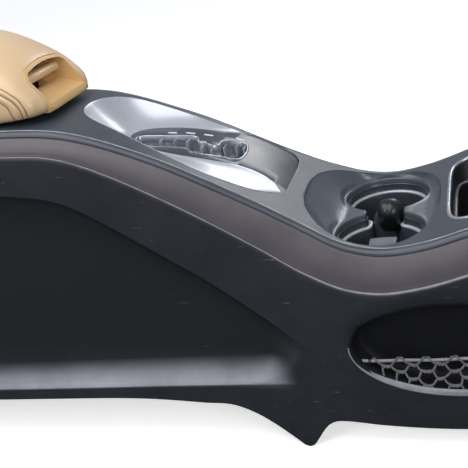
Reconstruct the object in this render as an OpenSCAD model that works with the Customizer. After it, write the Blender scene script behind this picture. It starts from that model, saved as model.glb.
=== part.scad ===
/* [Overall] */
// Distance from the cup line back to the rear end
rear_len = 650; // [620:1:720]
// Distance from the cup line forward to the front end
front_len = 250; // [235:1:320]
// Height of the deck at the cup holders above the floor
cup_h = 198; // [185:1:215]
// Height of the deck under the armrest above the floor
arm_h = 340; // [330:1:356]
// Length of the slope between the cups and the armrest
slope_len = 330; // [318:1:342]
// Wall thickness of the outer mouldings
wall = 3; // [2.4:0.1:3.6]
// Joint gap between neighbouring trim pieces
seam = 0.4; // [0.3:0.05:0.6]

/* [Deck] */
// Half width of the deck beside the armrest
deck_rear = 70; // [67:0.5:74]
// Half width of the deck at the shifter waist
deck_waist = 66.5; // [65:0.5:70]
// Half width of the deck at the cup line
deck_cups = 89.5; // [88:0.5:93]
// Half width of the deck at the front end
deck_front = 97; // [95:0.5:102]
// Crown height of the deck behind the shifter
crown_h = 3; // [2:0.5:5]
// Sideways run of the rounded deck edge
roll_out = 6.6; // [6:0.2:8]
// Drop of the rounded deck edge
roll_drop = 5; // [4:0.2:6]

/* [Sides] */
// Sideways distance from the deck crease to the lower edge of the trim strip
strip_out = 18; // [16.5:0.5:20]
// Outward bulge of the padded trim strip
strip_bulge = 1.6; // [1:0.2:2.4]
// Drop from the deck crease to the strip's lower edge at the cup line
strip_drop = 35; // [33:0.5:38]
// Half width across the lower edges of the side panels
foot_half = 109; // [106:0.5:116]
// Outward belly of the side panels
belly = 4; // [2:0.5:7]
// Depth of the long scoop in the side panels
scoop_d = 14; // [8:1:17]
// Height of the scoop's lower lip above the floor
lip_h = 71; // [68:1:80]
// Height of the sloping ledge above the lip
ledge_h = 24; // [20:1:32]
// Height of the rear lower edge above the floor
hem_rear = 58; // [50:1:62]
// Height of the front lower edge above the floor
hem_front = 22; // [16:1:28]
// Distance of the fixing tab's tip behind the cup line
tab_x = 85; // [75:1:95]

/* [Shifter] */
// Distance of the shifter trim's rear tip behind the cup line
trim_rear = 281; // [278:1:284]
// Radius of the gate plate about the lever's pivot
gate_r = 270; // [262:1:290]
// Distance of the gate plate's middle behind the cup line
gate_mid = 141; // [138:1:144]
// Fall of the gate plate at its middle in degrees
gate_fall = 26; // [25:0.5:27]
// Height of the gate plate's middle above the deck
gate_lift = 1.5; // [0.5:0.25:2.5]
// Wall thickness of the shifter trim
trim_t = 2.4; // [2:0.1:3]
// Depth of the guide rails under the gate plate
guide_d = 22; // [16:1:28]

/* [Cups] */
// Radius of each cup well
cup_r = 41; // [39:0.5:41.5]
// Distance between the two cup centres
cup_pitch = 84; // [82:0.5:86]
// Depth of the cup wells
cup_d = 66; // [55:1:72]
// Depth of the ledge ring below the cup deck
ring_d = 13; // [10:1:18]
// Width of the ledge ring
ring_w = 4.5; // [3:0.5:6]
// Drop of the cup deck below the console deck
dish_d = 4.5; // [3:0.5:6]
// Width of the passage between the wells
pass_w = 36; // [32:1:40]
// Wall thickness of the inserts
insert_t = 2.5; // [2:0.1:3]

/* [Front bin] */
// Distance of the front bin's rear edge ahead of the cup line
fbin_x = 61; // [60:1:66]
// Length of the front bin
fbin_l = 136; // [120:1:142]
// Width of the front bin
fbin_w = 150; // [140:1:156]
// Height of the front bin's floor above the floor
fbin_floor = 140; // [125:1:150]
// Width of the bright ring round the front bin
fbez_w = 5; // [4:0.5:6]

/* [Storage bin] */
// Distance of the storage bin's front wall behind the cup line
bin_x = 362; // [358:1:370]
// Distance of the storage bin's rear wall from the rear end
bin_end = 72; // [66:1:90]
// Width of the storage bin
bin_w = 104; // [92:1:108]
// Depth of the storage bin
bin_d = 190; // [150:1:215]
// Corner radius of the storage bin
bin_r = 14; // [8:1:20]

/* [Armrest] */
// Distance of the lid's front edge behind the cup line
lid_x = 290; // [288:1:296]
// Distance of the lid's rear edge from the rear end
lid_end = 52; // [50:1:60]
// Width of the lid
lid_w = 146; // [142:1:150]
// Height of the lid from its lower edge
lid_t = 82; // [74:1:88]
// Gap between the lid and the deck
lid_gap = 3; // [3:0.5:6]
// Width of the latch housing
house_w = 88; // [84:1:92]
// Height of the latch housing
house_h = 44; // [42:1:47]
// Width of the latch handle
grip_w = 66; // [54:1:70]
// Radius of the latch pin
latch_pin_r = 1.5; // [1.2:0.1:2]
// Radius of the hinge pin
hinge_pin_r = 2.5; // [2:0.1:3]
// Radial clearance of each pin in its bore
pin_gap = 0.08; // [0.04:0.01:0.1]

/* [Net pocket] */
// Distance of the pocket's middle ahead of the cup line
pocket_x = 66; // [60:1:72]
// Half length of the pocket mouth
pocket_a = 98; // [85:1:104]
// Height of the pocket mouth's widest line above the floor
pocket_h = 110; // [106:1:114]
// Height of the mouth above its widest line
pocket_up = 40; // [32:1:42]
// Depth of the mouth below its widest line
pocket_dn = 48.5; // [42:0.5:52]
// Thickness of the net's cords
net_t = 1.6; // [1.2:0.1:2.2]
// Width of the net's meshes
mesh_w = 22; // [18:0.5:25]

/* [Brackets] */
// Thickness of the steel brackets
steel_t = 2.5; // [2:0.1:3]
// Diameter of the mounting bolt holes
bolt_d = 7; // [6:0.1:9]
// Distance between the mounting bolt holes
bolt_pitch = 90; // [70:1:110]

/* [Hidden] */
$fn = 48;
// Distance from the middle of the whole console forward to the cup line
cup_x = (rear_len - front_len) / 2;
rise = arm_h - cup_h;
lid_l = rear_len - lid_x - lid_end;
bin_l = rear_len - bin_x - bin_end;

// Smooth curves through a few points [x, value]
function span_at(p, x, i = 0) =
  i >= len(p) - 2 || x < p[i + 1][0] ? i : span_at(p, x, i + 1);
function chord(p, i) = (p[i + 1][1] - p[i][1]) / (p[i + 1][0] - p[i][0]);
function gap_at(p, i) = p[i + 1][0] - p[i][0];
function grade(p, i) = i == 0 ? chord(p, 0) : i == len(p) - 1 ? chord(p, i - 1)
  : chord(p, i - 1) * chord(p, i) <= 0 ? 0
  : (chord(p, i - 1) * gap_at(p, i) + chord(p, i) * gap_at(p, i - 1))
    / (gap_at(p, i) + gap_at(p, i - 1));
function hermite(a, b, ga, gb, h, t) = a * (1 + 2 * t) * pow(1 - t, 2)
  + ga * h * t * pow(1 - t, 2) + b * t * t * (3 - 2 * t) + gb * h * t * t * (t - 1);
function curve(p, x) = let (i = span_at(p, x), h = gap_at(p, i),
    t = min(1, max(0, (x - p[i][0]) / h)))
  hermite(p[i][1], p[i + 1][1], grade(p, i), grade(p, i + 1), h, t);
function clamp(t) = min(1, max(0, t));
function smooth(t) = let (c = clamp(t)) c * c * (3 - 2 * c);
function mix(a, b, t) = a + (b - a) * t;
function spow(v, e) = sign(v) * pow(abs(v), e);

// Side view of the deck: level, slope, cup valley and front rise
deck_line = [[-rear_len, 1], [-1.2 * slope_len, 1], [-slope_len, 0.98],
  [-0.85 * slope_len, 0.93], [-0.6 * slope_len, 0.703], [-0.3 * slope_len, 0.311],
  [-0.18 * slope_len, 0.153], [-0.08 * slope_len, 0.042], [8, 0], [40, 0.027],
  [80, 0.105], [front_len, 0.5]];
function deck(x) = cup_h + rise * curve(deck_line, x);

// Plan view of the deck's crease
flare = deck_cups - deck_waist;
edge_line = [[-rear_len, deck_rear + 2], [-340, deck_rear], [-222, deck_waist],
  [-160, deck_waist + 0.09 * flare], [-90, deck_waist + 0.25 * flare],
  [-60, deck_waist + 0.47 * flare], [-40, deck_waist + 0.72 * flare], [0, deck_cups],
  [40, mix(deck_cups, deck_front, 0.47)], [80, mix(deck_cups, deck_front, 0.7)],
  [front_len, deck_front]];
function edge(x) = curve(edge_line, x);
function crown(x) = crown_h * smooth((-x - 120) / 120) * smooth((x + 370) / 70);
function deck_at(x, y) = deck(x) + crown(x) * (1 - pow(min(1, abs(y) / edge(x)), 2));

// Lower edge of the trim strip, where the side panel's bright lip runs
drop_line = [[-rear_len, 0.57], [-300, 0.57], [-278, 0.59], [-230, 0.735], [-185, 0.885],
  [-140, 0.985], [-104, 1.085], [-67, 1.18], [-33, 1.08], [0, 1], [60, 0.94],
  [front_len, 0.94]];
function lip_z(x) = deck(x) - strip_drop * curve(drop_line, x);
function lip_y(x) = edge(x) + strip_out;

// Ridge between the lip and the long scoop of the side panel
ridge_line = [[-rear_len, 35], [-342, 36.5], [-288, 41.5], [-241, 51], [-196, 57.5],
  [-154, 61.5], [-118, 67], [-85, 74], [-60, 85], [front_len, 85]];
// The scoop ends here at its ledge, and further ahead at its top
scoop_end = 97;
scoop_ahead = 37;
end_r = 18;
function scoop_top(x) = max(lip_h + 22, lip_z(x) - curve(ridge_line, x));
function scoop_led(x) = min(ledge_h, 0.35 * (scoop_top(x) - lip_h));
function scoop_w(x) = min(24, 0.3 * (scoop_top(x) - lip_h));
function scoop_fade(x, z) = let (c = clamp((z - lip_h) / end_r), f = clamp((z - lip_h - 9) / 35))
  smooth((-x - scoop_end + f * scoop_ahead - 26 * pow(1 - c, 2)) / (14 + 40 * f))
    * smooth((x + rear_len - 30) / 45);
function scoop(x, z) = scoop_d * scoop_fade(x, z)
  * (1 - pow(1 - clamp((scoop_top(x) - z) / scoop_w(x)), 2))
  * (1 - pow(1 - clamp((z - lip_h) / scoop_led(x)), 2));
function side_y(x, z) = let (u = clamp((lip_z(x) - z) / lip_z(x)))
  mix(lip_y(x) + 2, foot_half, u) + belly * sin(180 * pow(u, 0.85)) - scoop(x, z);

// Solid between an outer and an inner sheet, each a list of equally long paths
module band(outer, inner) {
  n = len(outer);
  m = len(outer[0]);
  function at(k, i, j) = (k * n + i) * m + j;
  function quad(a, b, c, d) = [[a, b, c], [a, c, d]];
  sheets = [for (i = [0 : n - 2]) for (j = [0 : m - 2]) for (f = concat(
    quad(at(0, i, j), at(0, i, j + 1), at(0, i + 1, j + 1), at(0, i + 1, j)),
    quad(at(1, i, j), at(1, i + 1, j), at(1, i + 1, j + 1), at(1, i, j + 1)))) f];
  sides = [for (i = [0 : n - 2]) for (f = concat(
    quad(at(0, i, 0), at(0, i + 1, 0), at(1, i + 1, 0), at(1, i, 0)),
    quad(at(0, i, m - 1), at(1, i, m - 1), at(1, i + 1, m - 1), at(0, i + 1, m - 1)))) f];
  ends = [for (j = [0 : m - 2]) for (f = concat(
    quad(at(0, 0, j + 1), at(0, 0, j), at(1, 0, j), at(1, 0, j + 1)),
    quad(at(0, n - 1, j), at(0, n - 1, j + 1), at(1, n - 1, j + 1), at(1, n - 1, j)))) f];
  polyhedron([for (path = concat(outer, inner)) for (p = path) p],
    concat(sheets, sides, ends), convexity = 6);
}

// Solid skinned over closed rings, each seen turning anticlockwise from the first end
module skin(rings) {
  n = len(rings);
  m = len(rings[0]);
  walls = [for (i = [0 : n - 2]) for (j = [0 : m - 1]) let (k = (j + 1) % m)
    for (f = [[i * m + j, i * m + k, (i + 1) * m + k],
      [i * m + j, (i + 1) * m + k, (i + 1) * m + j]]) f];
  first = [[for (j = [m - 1 : -1 : 0]) j]];
  last = [[for (j = [0 : m - 1]) (n - 1) * m + j]];
  polyhedron([for (r = rings) for (p = r) p], concat(first, walls, last), convexity = 6);
}

// Rectangle with round corners
module round_rect(l, w, r) {
  square([l - 2 * r, w], center = true);
  square([l, w - 2 * r], center = true);
  for (x = [-1, 1]) for (y = [-1, 1])
    translate([x * (l / 2 - r), y * (w / 2 - r)]) circle(r);
}

// Plate drawn in side view, x to the right and z up, centred on y = 0
module side_cut(w) rotate([90, 0, 0]) linear_extrude(w, center = true) children();

// Plate drawn in front view, y to the right and z up, standing at x = 0
module cross_cut(t) rotate([90, 0, 90]) linear_extrude(t) children();

// Stations along the console, closer together in the curves
bend_x = -1.09 * slope_len;
valley_x = 77;
stations = concat([for (i = [0 : 4]) mix(-rear_len, bend_x, i / 5)],
  [for (i = [0 : 23]) mix(bend_x, valley_x, i / 23)],
  [for (i = [1 : 5]) mix(valley_x, front_len, i / 5)]);

// Outlines of the shifter trim and of the gate plate, near and far edge
trim_near = [[-trim_rear, -66], [-277.5, -57], [-269, -45.5], [-254, -35], [-236, -26.5],
  [-204, -14.5], [-167, -8], [-143, -7.5], [-115, -12.5], [-98, -23], [-87, -38],
  [-84.5, -48]];
trim_far = [[-trim_rear, -62], [-279.5, -42], [-271.5, -20], [-258, -12.5], [-236, -10.8],
  [-200, -11], [-170, -10.5], [-149, -8], [-134, -4], [-121, -3], [-108.7, -3],
  [-98, -6], [-91, -11], [-87.5, -17], [-85.5, -25], [-84.5, -38]];
function trim_y0(x) = -edge(x) - curve(trim_near, x);
function trim_y1(x) = edge(x) + curve(trim_far, x);
gate_near = [[-240, -2], [-236, -9], [-225, -17], [-193, -33], [-175, -34], [-157, -30],
  [-141, -24.5], [-126, -18.5], [-110, -15.5], [-98, -18.5], [-93, -24], [-88, -32.5]];
gate_far = [[-240, 3], [-235, 9], [-228.5, 22.5], [-219, 32], [-198, 37.5], [-173, 40.5],
  [-154, 47.5], [-143, 56], [-134, 62.5]];
gate_x0 = -240;
trim_x1 = -84.5;
// Tips of the silver trim's two horns; ahead of them the plate meets the deck
horn_near = -88;
horn_far = -134;
horn_steps = 14;
front_steps = 8;
function ease(i) = (1 - cos(180 * i / horn_steps)) / 2;
function ahead(i) = sin(90 * i / front_steps);
trim_loop = concat(
  [for (i = [horn_steps : -1 : 0]) let (x = mix(horn_near, -trim_rear, ease(i))) [x, trim_y0(x)]],
  [for (i = [2 : 2 : front_steps]) let (x = mix(horn_near, trim_x1, ahead(i))) [x, trim_y0(x)]],
  [for (i = [front_steps : -1 : 1]) let (x = mix(horn_far, trim_x1, ahead(i))) [x, trim_y1(x)]],
  [for (i = [0 : horn_steps]) let (x = mix(horn_far, -trim_rear, ease(i))) [x, trim_y1(x)]]);
gate_loop = concat(
  [for (i = [horn_steps : -1 : 0]) let (x = mix(horn_near, gate_x0, ease(i)))
    [x, curve(gate_near, x)]],
  [for (i = [2 : 2 : front_steps]) let (x = mix(horn_near, trim_x1 - seam, ahead(i)))
    [x, trim_y0(x + seam) + seam]],
  [for (i = [front_steps : -1 : 1]) let (x = mix(horn_far, trim_x1 - seam, ahead(i)))
    [x, trim_y1(x + seam) - seam]],
  [for (i = [0 : horn_steps]) let (x = mix(horn_far, gate_x0, ease(i)))
    [x, curve(gate_far, x)]]);

// The gate plate is a piece of a cylinder about the lever's pivot
pivot_x = -gate_mid - gate_r * sin(gate_fall);
pivot_z = deck(-gate_mid) + gate_lift - gate_r * cos(gate_fall);
function gate_z(x) = pivot_z + sqrt(pow(gate_r, 2) - pow(x - pivot_x, 2));
module gate_shell(r0, r1) translate([pivot_x, 0, pivot_z]) rotate([90, 0, 0])
  difference() {
    cylinder(r = r1, h = 200, center = true, $fn = 180);
    cylinder(r = r0, h = 201, center = true, $fn = 180);
  }
// Bowl of the shifter trim: a horseshoe falling from the deck at its rim to the gate
// plate. It runs from the near horn round the rear to the far horn, and each section
// goes from a point on the rim to a point on the plate's edge.
wing_steps = [0, 0.1, 0.25, 0.42, 0.6, 0.8, 1];
function rim_point(tip, e, far) = let (x = mix(tip, -trim_rear, e))
  [mix(tip, seam - trim_rear, e), far ? trim_y1(x) - seam : trim_y0(x) + seam];
function gate_point(tip, e, far) = let (x = mix(tip, gate_x0, e))
  [mix(tip, gate_x0 - seam, e), far ? curve(gate_far, x) + seam : curve(gate_near, x) - seam];
function trim_path(i, far, dz) = let (e = ease(i),
    tip = far ? horn_far : horn_near, a = rim_point(tip, e, far), b = gate_point(tip, e, far))
  [for (t = wing_steps) [mix(a[0], b[0], t), mix(a[1], b[1], t),
    mix(deck_at(a[0], a[1]), gate_z(b[0]), 1 - pow(1 - t, 1.7)) - dz]];
function trim_sheet(dz) = concat([for (i = [0 : horn_steps]) trim_path(i, false, dz)],
  [for (i = [horn_steps : -1 : 0]) trim_path(i, true, dz)]);

// Stepped gate slot, as seen from above
slot_pts = [[-222, -12], [-180, -9], [-172, -6], [-150, -7], [-136, -3], [-129, 6],
  [-129, 28], [-137, 36], [-147, 35], [-154, 26], [-155, 17], [-168, 18],
  [-178, 17], [-183, 23], [-206, 14], [-222, 2]];

// Outline of the cup holder insert and of its deck
function oval(t, cx, a0, a1, b, n) = [cx + (cos(t) < 0 ? a0 : a1) * spow(cos(t), 2 / n),
  b * spow(sin(t), 2 / n)];
cup_b = deck_cups - 4.5;
cup_deck = cup_h - dish_d;
function cup_rim(t, o) = oval(t, 4, 74 + o, 50 + o, cup_b + o, 2.5);
function cup_flat(t, o) = oval(t, 2, 40 + o, 41 + o, cup_pitch / 2 + cup_r - 1 + o, 4);
turn = [for (i = [0 : 47]) i * 7.5];
// The passage lies slightly ahead of the cup line
pass_c = 1;

// Front bin outline
fbin_c = fbin_x + fbin_l / 2;
function fbin_rim(t, o) = oval(t, fbin_c, fbin_l / 2 + o, fbin_l / 2 + o, fbin_w / 2 + o, 6);
module fbin_plan(o) polygon([for (t = turn) fbin_rim(t, o)]);

// Lid outlines
lid_z = arm_h + lid_gap;
lid_half = [[0.5, 0.42], [3, 0.62], [8, 0.74], [21, 0.83], [50, 0.91], [110, 0.975],
  [190, 1], [270, 0.985], [298, 0.87], [307, 0.55]];
lid_rise = [[0.5, 0.03], [5, 0.17], [13, 0.33], [21, 0.49], [40, 0.7], [60, 0.86],
  [81, 0.97], [120, 1], [240, 1], [285, 0.9], [300, 0.7], [307, 0.42]];
function lid_y(d) = lid_w / 2 * curve(lid_half, d * 308 / lid_l);
function lid_h(d) = lid_t * curve(lid_rise, d * 308 / lid_l);
lid_steps = [0.5, 2, 4.5, 8, 13, 20, 28, 38, 50, 64, 80, 110, 150, 190, 230, 262, 280,
  292, 300, 305, 307];
waist_h = 12;
function lid_ring(d, o) = let (w = lid_y(d) - o, h = lid_h(d) - o, s = min(waist_h, h / 2))
  concat([for (i = [0 : 16]) let (t = i * 11.25)
      [-lid_x - d, w * spow(cos(t), 0.78), lid_z + s + (h - s) * spow(sin(t), 0.78)]],
    [[-lid_x - d, -0.97 * w, lid_z + 0.25 * s], [-lid_x - d, -0.88 * w, lid_z],
      [-lid_x - d, 0.88 * w, lid_z], [-lid_x - d, 0.97 * w, lid_z + 0.25 * s]]);
module lid_form() skin([for (d = lid_steps) lid_ring(d * lid_l / 308, 0)]);
house_x = -lid_x - 72;
pad_wall = 6;
lid_ds = [for (i = [0 : 12]) mix(73, lid_l - pad_wall, i / 12)];
module lid_plan(o) polygon(concat(
  [for (d = lid_ds) [-lid_x - d + (d > 290 ? o - 6 : 0), lid_y(d) - o]],
  [for (i = [12 : -1 : 0]) let (d = lid_ds[i])
    [-lid_x - d + (d > 290 ? o - 6 : 0), o - lid_y(d)]]));
// Front view of the latch housing with its arched brow
arch_r = 160;
module house_face(o, z0) intersection() {
  translate([-house_w / 2 - o, z0]) square([house_w + 2 * o, 80]);
  translate([0, lid_z + house_h - arch_r]) circle(arch_r + o, $fn = 120);
}
module house_block(o, z0) translate([house_x - o, 0, 0]) cross_cut(lid_x + 80)
  house_face(o, z0);
// Latch mechanism, measured from the lid's lower face and behind its front edge
latch_px = -lid_x - 48;
latch_pz = lid_z + 30;
hook_t = 2.2;
hook_x = latch_px - 8.2;
tooth_l = 6.6;
hinge_px = -lid_x - lid_l - 6;
hinge_pz = lid_z + 3;

// Net pocket mouth: a half ellipse below and a flatter one above
function mouth(t, o) = [pocket_x + (pocket_a + o) * cos(t),
  pocket_h + (sin(t) > 0 ? pocket_up + o : pocket_dn + o) * sin(t)];
module mouth_plan(o) polygon([for (t = turn) mouth(t, o)]);
net_z = pocket_h - 20;
net_y = -lip_y(0) + 4;

module at_cups() translate([cup_x, 0, 0]) children();
// Upright prism over a plan drawn at the cup line
module tower(z0, z1) translate([0, 0, z0]) linear_extrude(z1 - z0) children();
module mirror_y() mirror([0, 1, 0]) children();

function roll(x, side, k) = let (e = edge(x), d = deck(x), in = k * wall)
  [[x, side * (e + roll_out - in), d - roll_drop],
    [x, side * (e + 0.78 * roll_out - 0.9 * in), d - 0.5 * roll_drop - 0.45 * in],
    [x, side * (e + 0.42 * roll_out - 0.55 * in), d - 0.16 * roll_drop - 0.85 * in]];
function deck_path(x, k) = concat(roll(x, -1, k),
  [for (u = [-1, -0.72, -0.38, 0, 0.38, 0.72, 1])
    [x, u * edge(x), deck_at(x, u * edge(x)) - k * wall]],
  [for (i = [2, 1, 0]) roll(x, 1, k)[i]]);

module top_panel() color("#43474e") at_cups() difference() {
  band([for (x = stations) deck_path(x, 0)], [for (x = stations) deck_path(x, 1)]);
  tower(cup_h - 30, arm_h + 40) polygon(trim_loop);
  tower(cup_h - 30, arm_h + 40) polygon([for (t = turn) cup_rim(t, 0)]);
  tower(cup_h - 30, arm_h + 40) fbin_plan(0);
  tower(cup_h, arm_h + 40) {
    translate([-bin_x - bin_l / 2, 0])
      round_rect(bin_l + 2 * (insert_t + seam), bin_w + 2 * (insert_t + seam), bin_r);
    translate([-bin_x, -20]) square([40, 40]);
  }
}

function side_rows(x) = let (zt = lip_z(x), st = scoop_top(x), w = scoop_w(x),
    led = scoop_led(x))
  [zt - 6, mix(zt - 6, st, 0.5), st, st - 0.15 * w, st - 0.4 * w, st - 0.7 * w, st - w,
    mix(st - w, lip_h + led, 0.5), lip_h + led, lip_h + 0.65 * led, lip_h + 0.35 * led,
    lip_h + 0.15 * led, lip_h, lip_h - 4, lip_h * 0.55, 0];
function side_path(x, k) = let (y = lip_y(x), z = lip_z(x), in = k * wall)
  concat([[x, y - 3, z - 0.6 - in], [x, y + 0.6 - 0.6 * in, z - 0.2 - 0.9 * in],
    [x, y + 2 - in, z - 1.8 - 0.3 * in]],
    [for (r = side_rows(x)) [x, side_y(x, r) - in, r]]);
hem_back = [[-rear_len, hem_rear], [-tab_x - 245, hem_rear], [-tab_x - 155, hem_rear - 2],
  [-tab_x - 100, hem_rear - 7], [-tab_x - 65, hem_rear - 11], [-tab_x - 49, 0.68 * hem_rear],
  [-tab_x - 30, 0.44 * hem_rear], [-tab_x - 13, 0.17 * hem_rear], [-tab_x - 3, 0]];
hem_fore = [[-tab_x + 3, 0], [-tab_x + 8, 6], [-tab_x + 14, 15], [-tab_x + 21, 24],
  [-tab_x + 29, hem_front + 7], [-tab_x + 37, hem_front + 8], [-tab_x + 75, hem_front + 4],
  [-tab_x + 148, hem_front], [front_len, hem_front]];
hem_steps = [-200, -155, -125, -100, -80, -65, -56, -49, -39, -30, -21, -13, -8];
// Radius of the fixing tab's round tip
tab_r = 4.5;
hem_pts = concat([[-rear_len - 5, -20], [-rear_len - 5, hem_rear], [-tab_x - 245, hem_rear]],
  [for (d = hem_steps) [-tab_x + d, curve(hem_back, -tab_x + d)]],
  [for (a = [222 : 16 : 318]) [-tab_x + tab_r * cos(a), tab_r + tab_r * sin(a)]],
  [for (d = [8 : 5 : 38]) [-tab_x + d, curve(hem_fore, -tab_x + d)]],
  [for (d = [50, 75, 110, 148]) [-tab_x + d, curve(hem_fore, -tab_x + d)]],
  [[front_len + 5, hem_front], [front_len + 5, -20]]);
module side_panel() difference() {
  band([for (x = stations) side_path(x, 0)], [for (x = stations) side_path(x, 1)]);
  side_cut(400) polygon(hem_pts);
}
module side_panel_left() color("#2b2e33") at_cups() side_panel();
module side_panel_right() color("#2b2e33") at_cups() mirror_y() difference() {
  side_panel();
  side_cut(400) mouth_plan(2.2 + seam);
}

function strip_path(x, k) = let (y0 = edge(x) + roll_out + 0.2, y1 = lip_y(x),
    z0 = deck(x) - roll_drop - seam, z1 = lip_z(x) + seam)
  [for (t = [0, 0.12, 0.35, 0.65, 0.88, 1])
    [x, mix(y0, y1, t) + strip_bulge * sin(180 * t) - k * (wall - 0.2), mix(z0, z1, t)]];
module trim_strip() band([for (x = stations) strip_path(x, 0)],
  [for (x = stations) strip_path(x, 1)]);
module trim_strip_left() color("#5f5a5e") at_cups() trim_strip();
module trim_strip_right() color("#5f5a5e") at_cups() mirror_y() trim_strip();

// Section of the hollow inside the mouldings, for the cross walls and end panels
function half_section(x, g, z0) = concat([[edge(x) - 1, deck(x) - wall - g],
    [edge(x) + 0.8, deck(x) - wall - g - 3], [lip_y(x) - 4.4 - g, lip_z(x) - g]],
  [for (z = side_rows(x)) if (z > z0 + 1 && z < lip_z(x) - 5) [side_y(x, z) - wall - g, z]],
  [[side_y(x, z0) - wall - g, z0]]);
module section_plan(x, g, z0) let (s = half_section(x, g, z0), n = len(s))
  polygon(concat(s, [for (i = [n - 1 : -1 : 0]) [-s[i][0], s[i][1]]]));

rail_t = 2.2;
rail_xs = concat([for (i = [0 : 3]) mix(-rear_len + 4, bend_x, i / 4)],
  [for (i = [0 : 16]) mix(bend_x, valley_x, i / 16)],
  [mix(valley_x, front_len, 0.5), front_len - 4]);
function rail_path(x, k) = [
  [x, edge(x) + 2.6 - k * rail_t, deck(x) - roll_drop - 2.5],
  [x, mix(edge(x) + 2.6, lip_y(x) - 4.2, 0.5) - k * rail_t + 0.4 * strip_bulge,
    mix(deck(x) - roll_drop - 2.5, lip_z(x) - 1, 0.5)],
  [x, lip_y(x) - 4.2 - k * rail_t, lip_z(x) - 1]];
wall_xs = [-slope_len + 18, trim_x1 + 4];
module carrier_frame() color("#1f2124") at_cups() {
  for (s = [0, 1]) mirror([0, s, 0])
    band([for (x = rail_xs) rail_path(x, 0)], [for (x = rail_xs) rail_path(x, 1)]);
  translate([wall_xs[0], 0, 0]) cross_cut(wall) difference() {
    section_plan(wall_xs[0] + wall, 1.2, 120);
    translate([0, 200]) round_rect(75, 84, 15);
  }
  translate([wall_xs[1], 0, 0]) cross_cut(wall) difference() {
    section_plan(wall_xs[1] + wall, 1.6, 112);
    translate([0, 150]) round_rect(84, 60, 15);
  }
}

end_t = 2.5;
end_gap = 2 * seam;
module rear_panel() color("#26282c") at_cups() translate([-rear_len, 0, 0]) difference() {
  cross_cut(end_t) section_plan(-rear_len, end_gap, hem_rear);
  for (y = [-40, 40]) translate([-1, y, bolt_rows[0]]) rotate([0, 90, 0])
    cylinder(r = 3.2, h = 5);
}
module front_panel() color("#26282c") at_cups() translate([front_len - end_t - 0.5, 0, 0])
  difference() {
    cross_cut(end_t) section_plan(front_len - end_t - 0.5, end_gap, hem_front);
    for (y = [-40, 40]) translate([-1, y, bolt_rows[1]]) rotate([0, 90, 0])
      cylinder(r = 3.2, h = 5);
  }

module shifter_bezel() color("#d9dade") at_cups() band(trim_sheet(trim_t), trim_sheet(0));
module gate_plate() color("#4b5057") at_cups() intersection() {
  gate_shell(gate_r - trim_t, gate_r);
  tower(cup_h - 20, arm_h + 20) difference() {
    offset(delta = -0.01) polygon(gate_loop);
    offset(delta = 1.8) polygon(slot_pts);
  }
}
module gate_liner() color("#b9bcc2") at_cups() intersection() {
  gate_shell(gate_r - 6, gate_r + 0.8);
  tower(cup_h - 20, arm_h + 20) difference() {
    offset(delta = 1.5) polygon(slot_pts);
    polygon(slot_pts);
  }
}
module gate_guide() color("#3a3d42") at_cups() {
  intersection() {
    gate_shell(gate_r - guide_d, gate_r - 6.3);
    tower(cup_h - 40, arm_h + 20) difference() {
      offset(delta = 2.4) polygon(slot_pts);
      offset(delta = -0.4) polygon(slot_pts);
    }
  }
  intersection() {
    gate_shell(gate_r - guide_d, gate_r - guide_d + 2.4);
    tower(cup_h - 40, arm_h + 20) difference() {
      offset(delta = 2) polygon(slot_pts);
      offset(delta = -3.6) polygon(slot_pts);
    }
  }
}
mark_pts = [[-203, 24], [-184, 34], [-167, 31], [-143, 45]];
module position_marks() color("#e8e8ea") at_cups() intersection() {
  gate_shell(gate_r + 0.05, gate_r + 0.55);
  tower(cup_h, arm_h + 20) for (p = mark_pts) translate(p) rotate(12) round_rect(9, 2.6, 1.2);
}

function ring_at(o, z) = [for (t = turn) concat(cup_flat(t, o), [z])];
function dish_ring(u, v, dz) = [for (t = turn)
  let (a = cup_flat(t, 0), b = cup_rim(t, -seam), z = deck(b[0]))
  [mix(a[0], b[0], u), mix(a[1], b[1], u), mix(cup_deck, z, v) - dz]];
module cup_insert() color("#33363b") at_cups() difference() {
  union() {
    skin([ring_at(-4, cup_deck), dish_ring(0, 0, 0), dish_ring(0.3, 0.14, 0),
      dish_ring(0.62, 0.44, 0), dish_ring(1, 1, 0), dish_ring(1, 1, insert_t),
      dish_ring(0.6, 0.4, insert_t + 0.8), dish_ring(0, 0, insert_t),
      ring_at(-4, cup_deck - insert_t)]);
    for (s = [-1, 1]) translate([0, s * cup_pitch / 2, cup_deck - cup_d - insert_t])
      cylinder(r = cup_r + insert_t, h = cup_d + insert_t - 1, $fn = 96);
    translate([pass_c - pass_w / 2 - insert_t, -cup_pitch / 4, cup_deck - cup_d - insert_t])
      cube([pass_w + 2 * insert_t, cup_pitch / 2, cup_d + insert_t - 1]);
  }
  for (s = [-1, 1]) translate([0, s * cup_pitch / 2, 0]) {
    translate([0, 0, cup_deck - ring_d]) cylinder(r = cup_r, h = 80, $fn = 96);
    translate([0, 0, cup_deck - cup_d])
      cylinder(r = cup_r - ring_w, h = cup_d + 40, $fn = 96);
  }
  translate([pass_c - pass_w / 2, -cup_pitch / 4, cup_deck - ring_d])
    cube([pass_w, cup_pitch / 2, cup_d + 40]);
  translate([pass_c - pass_w / 2 + ring_w, -cup_pitch / 4, cup_deck - cup_d])
    cube([pass_w - 2 * ring_w, cup_pitch / 2, cup_d + 40]);
}
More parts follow.
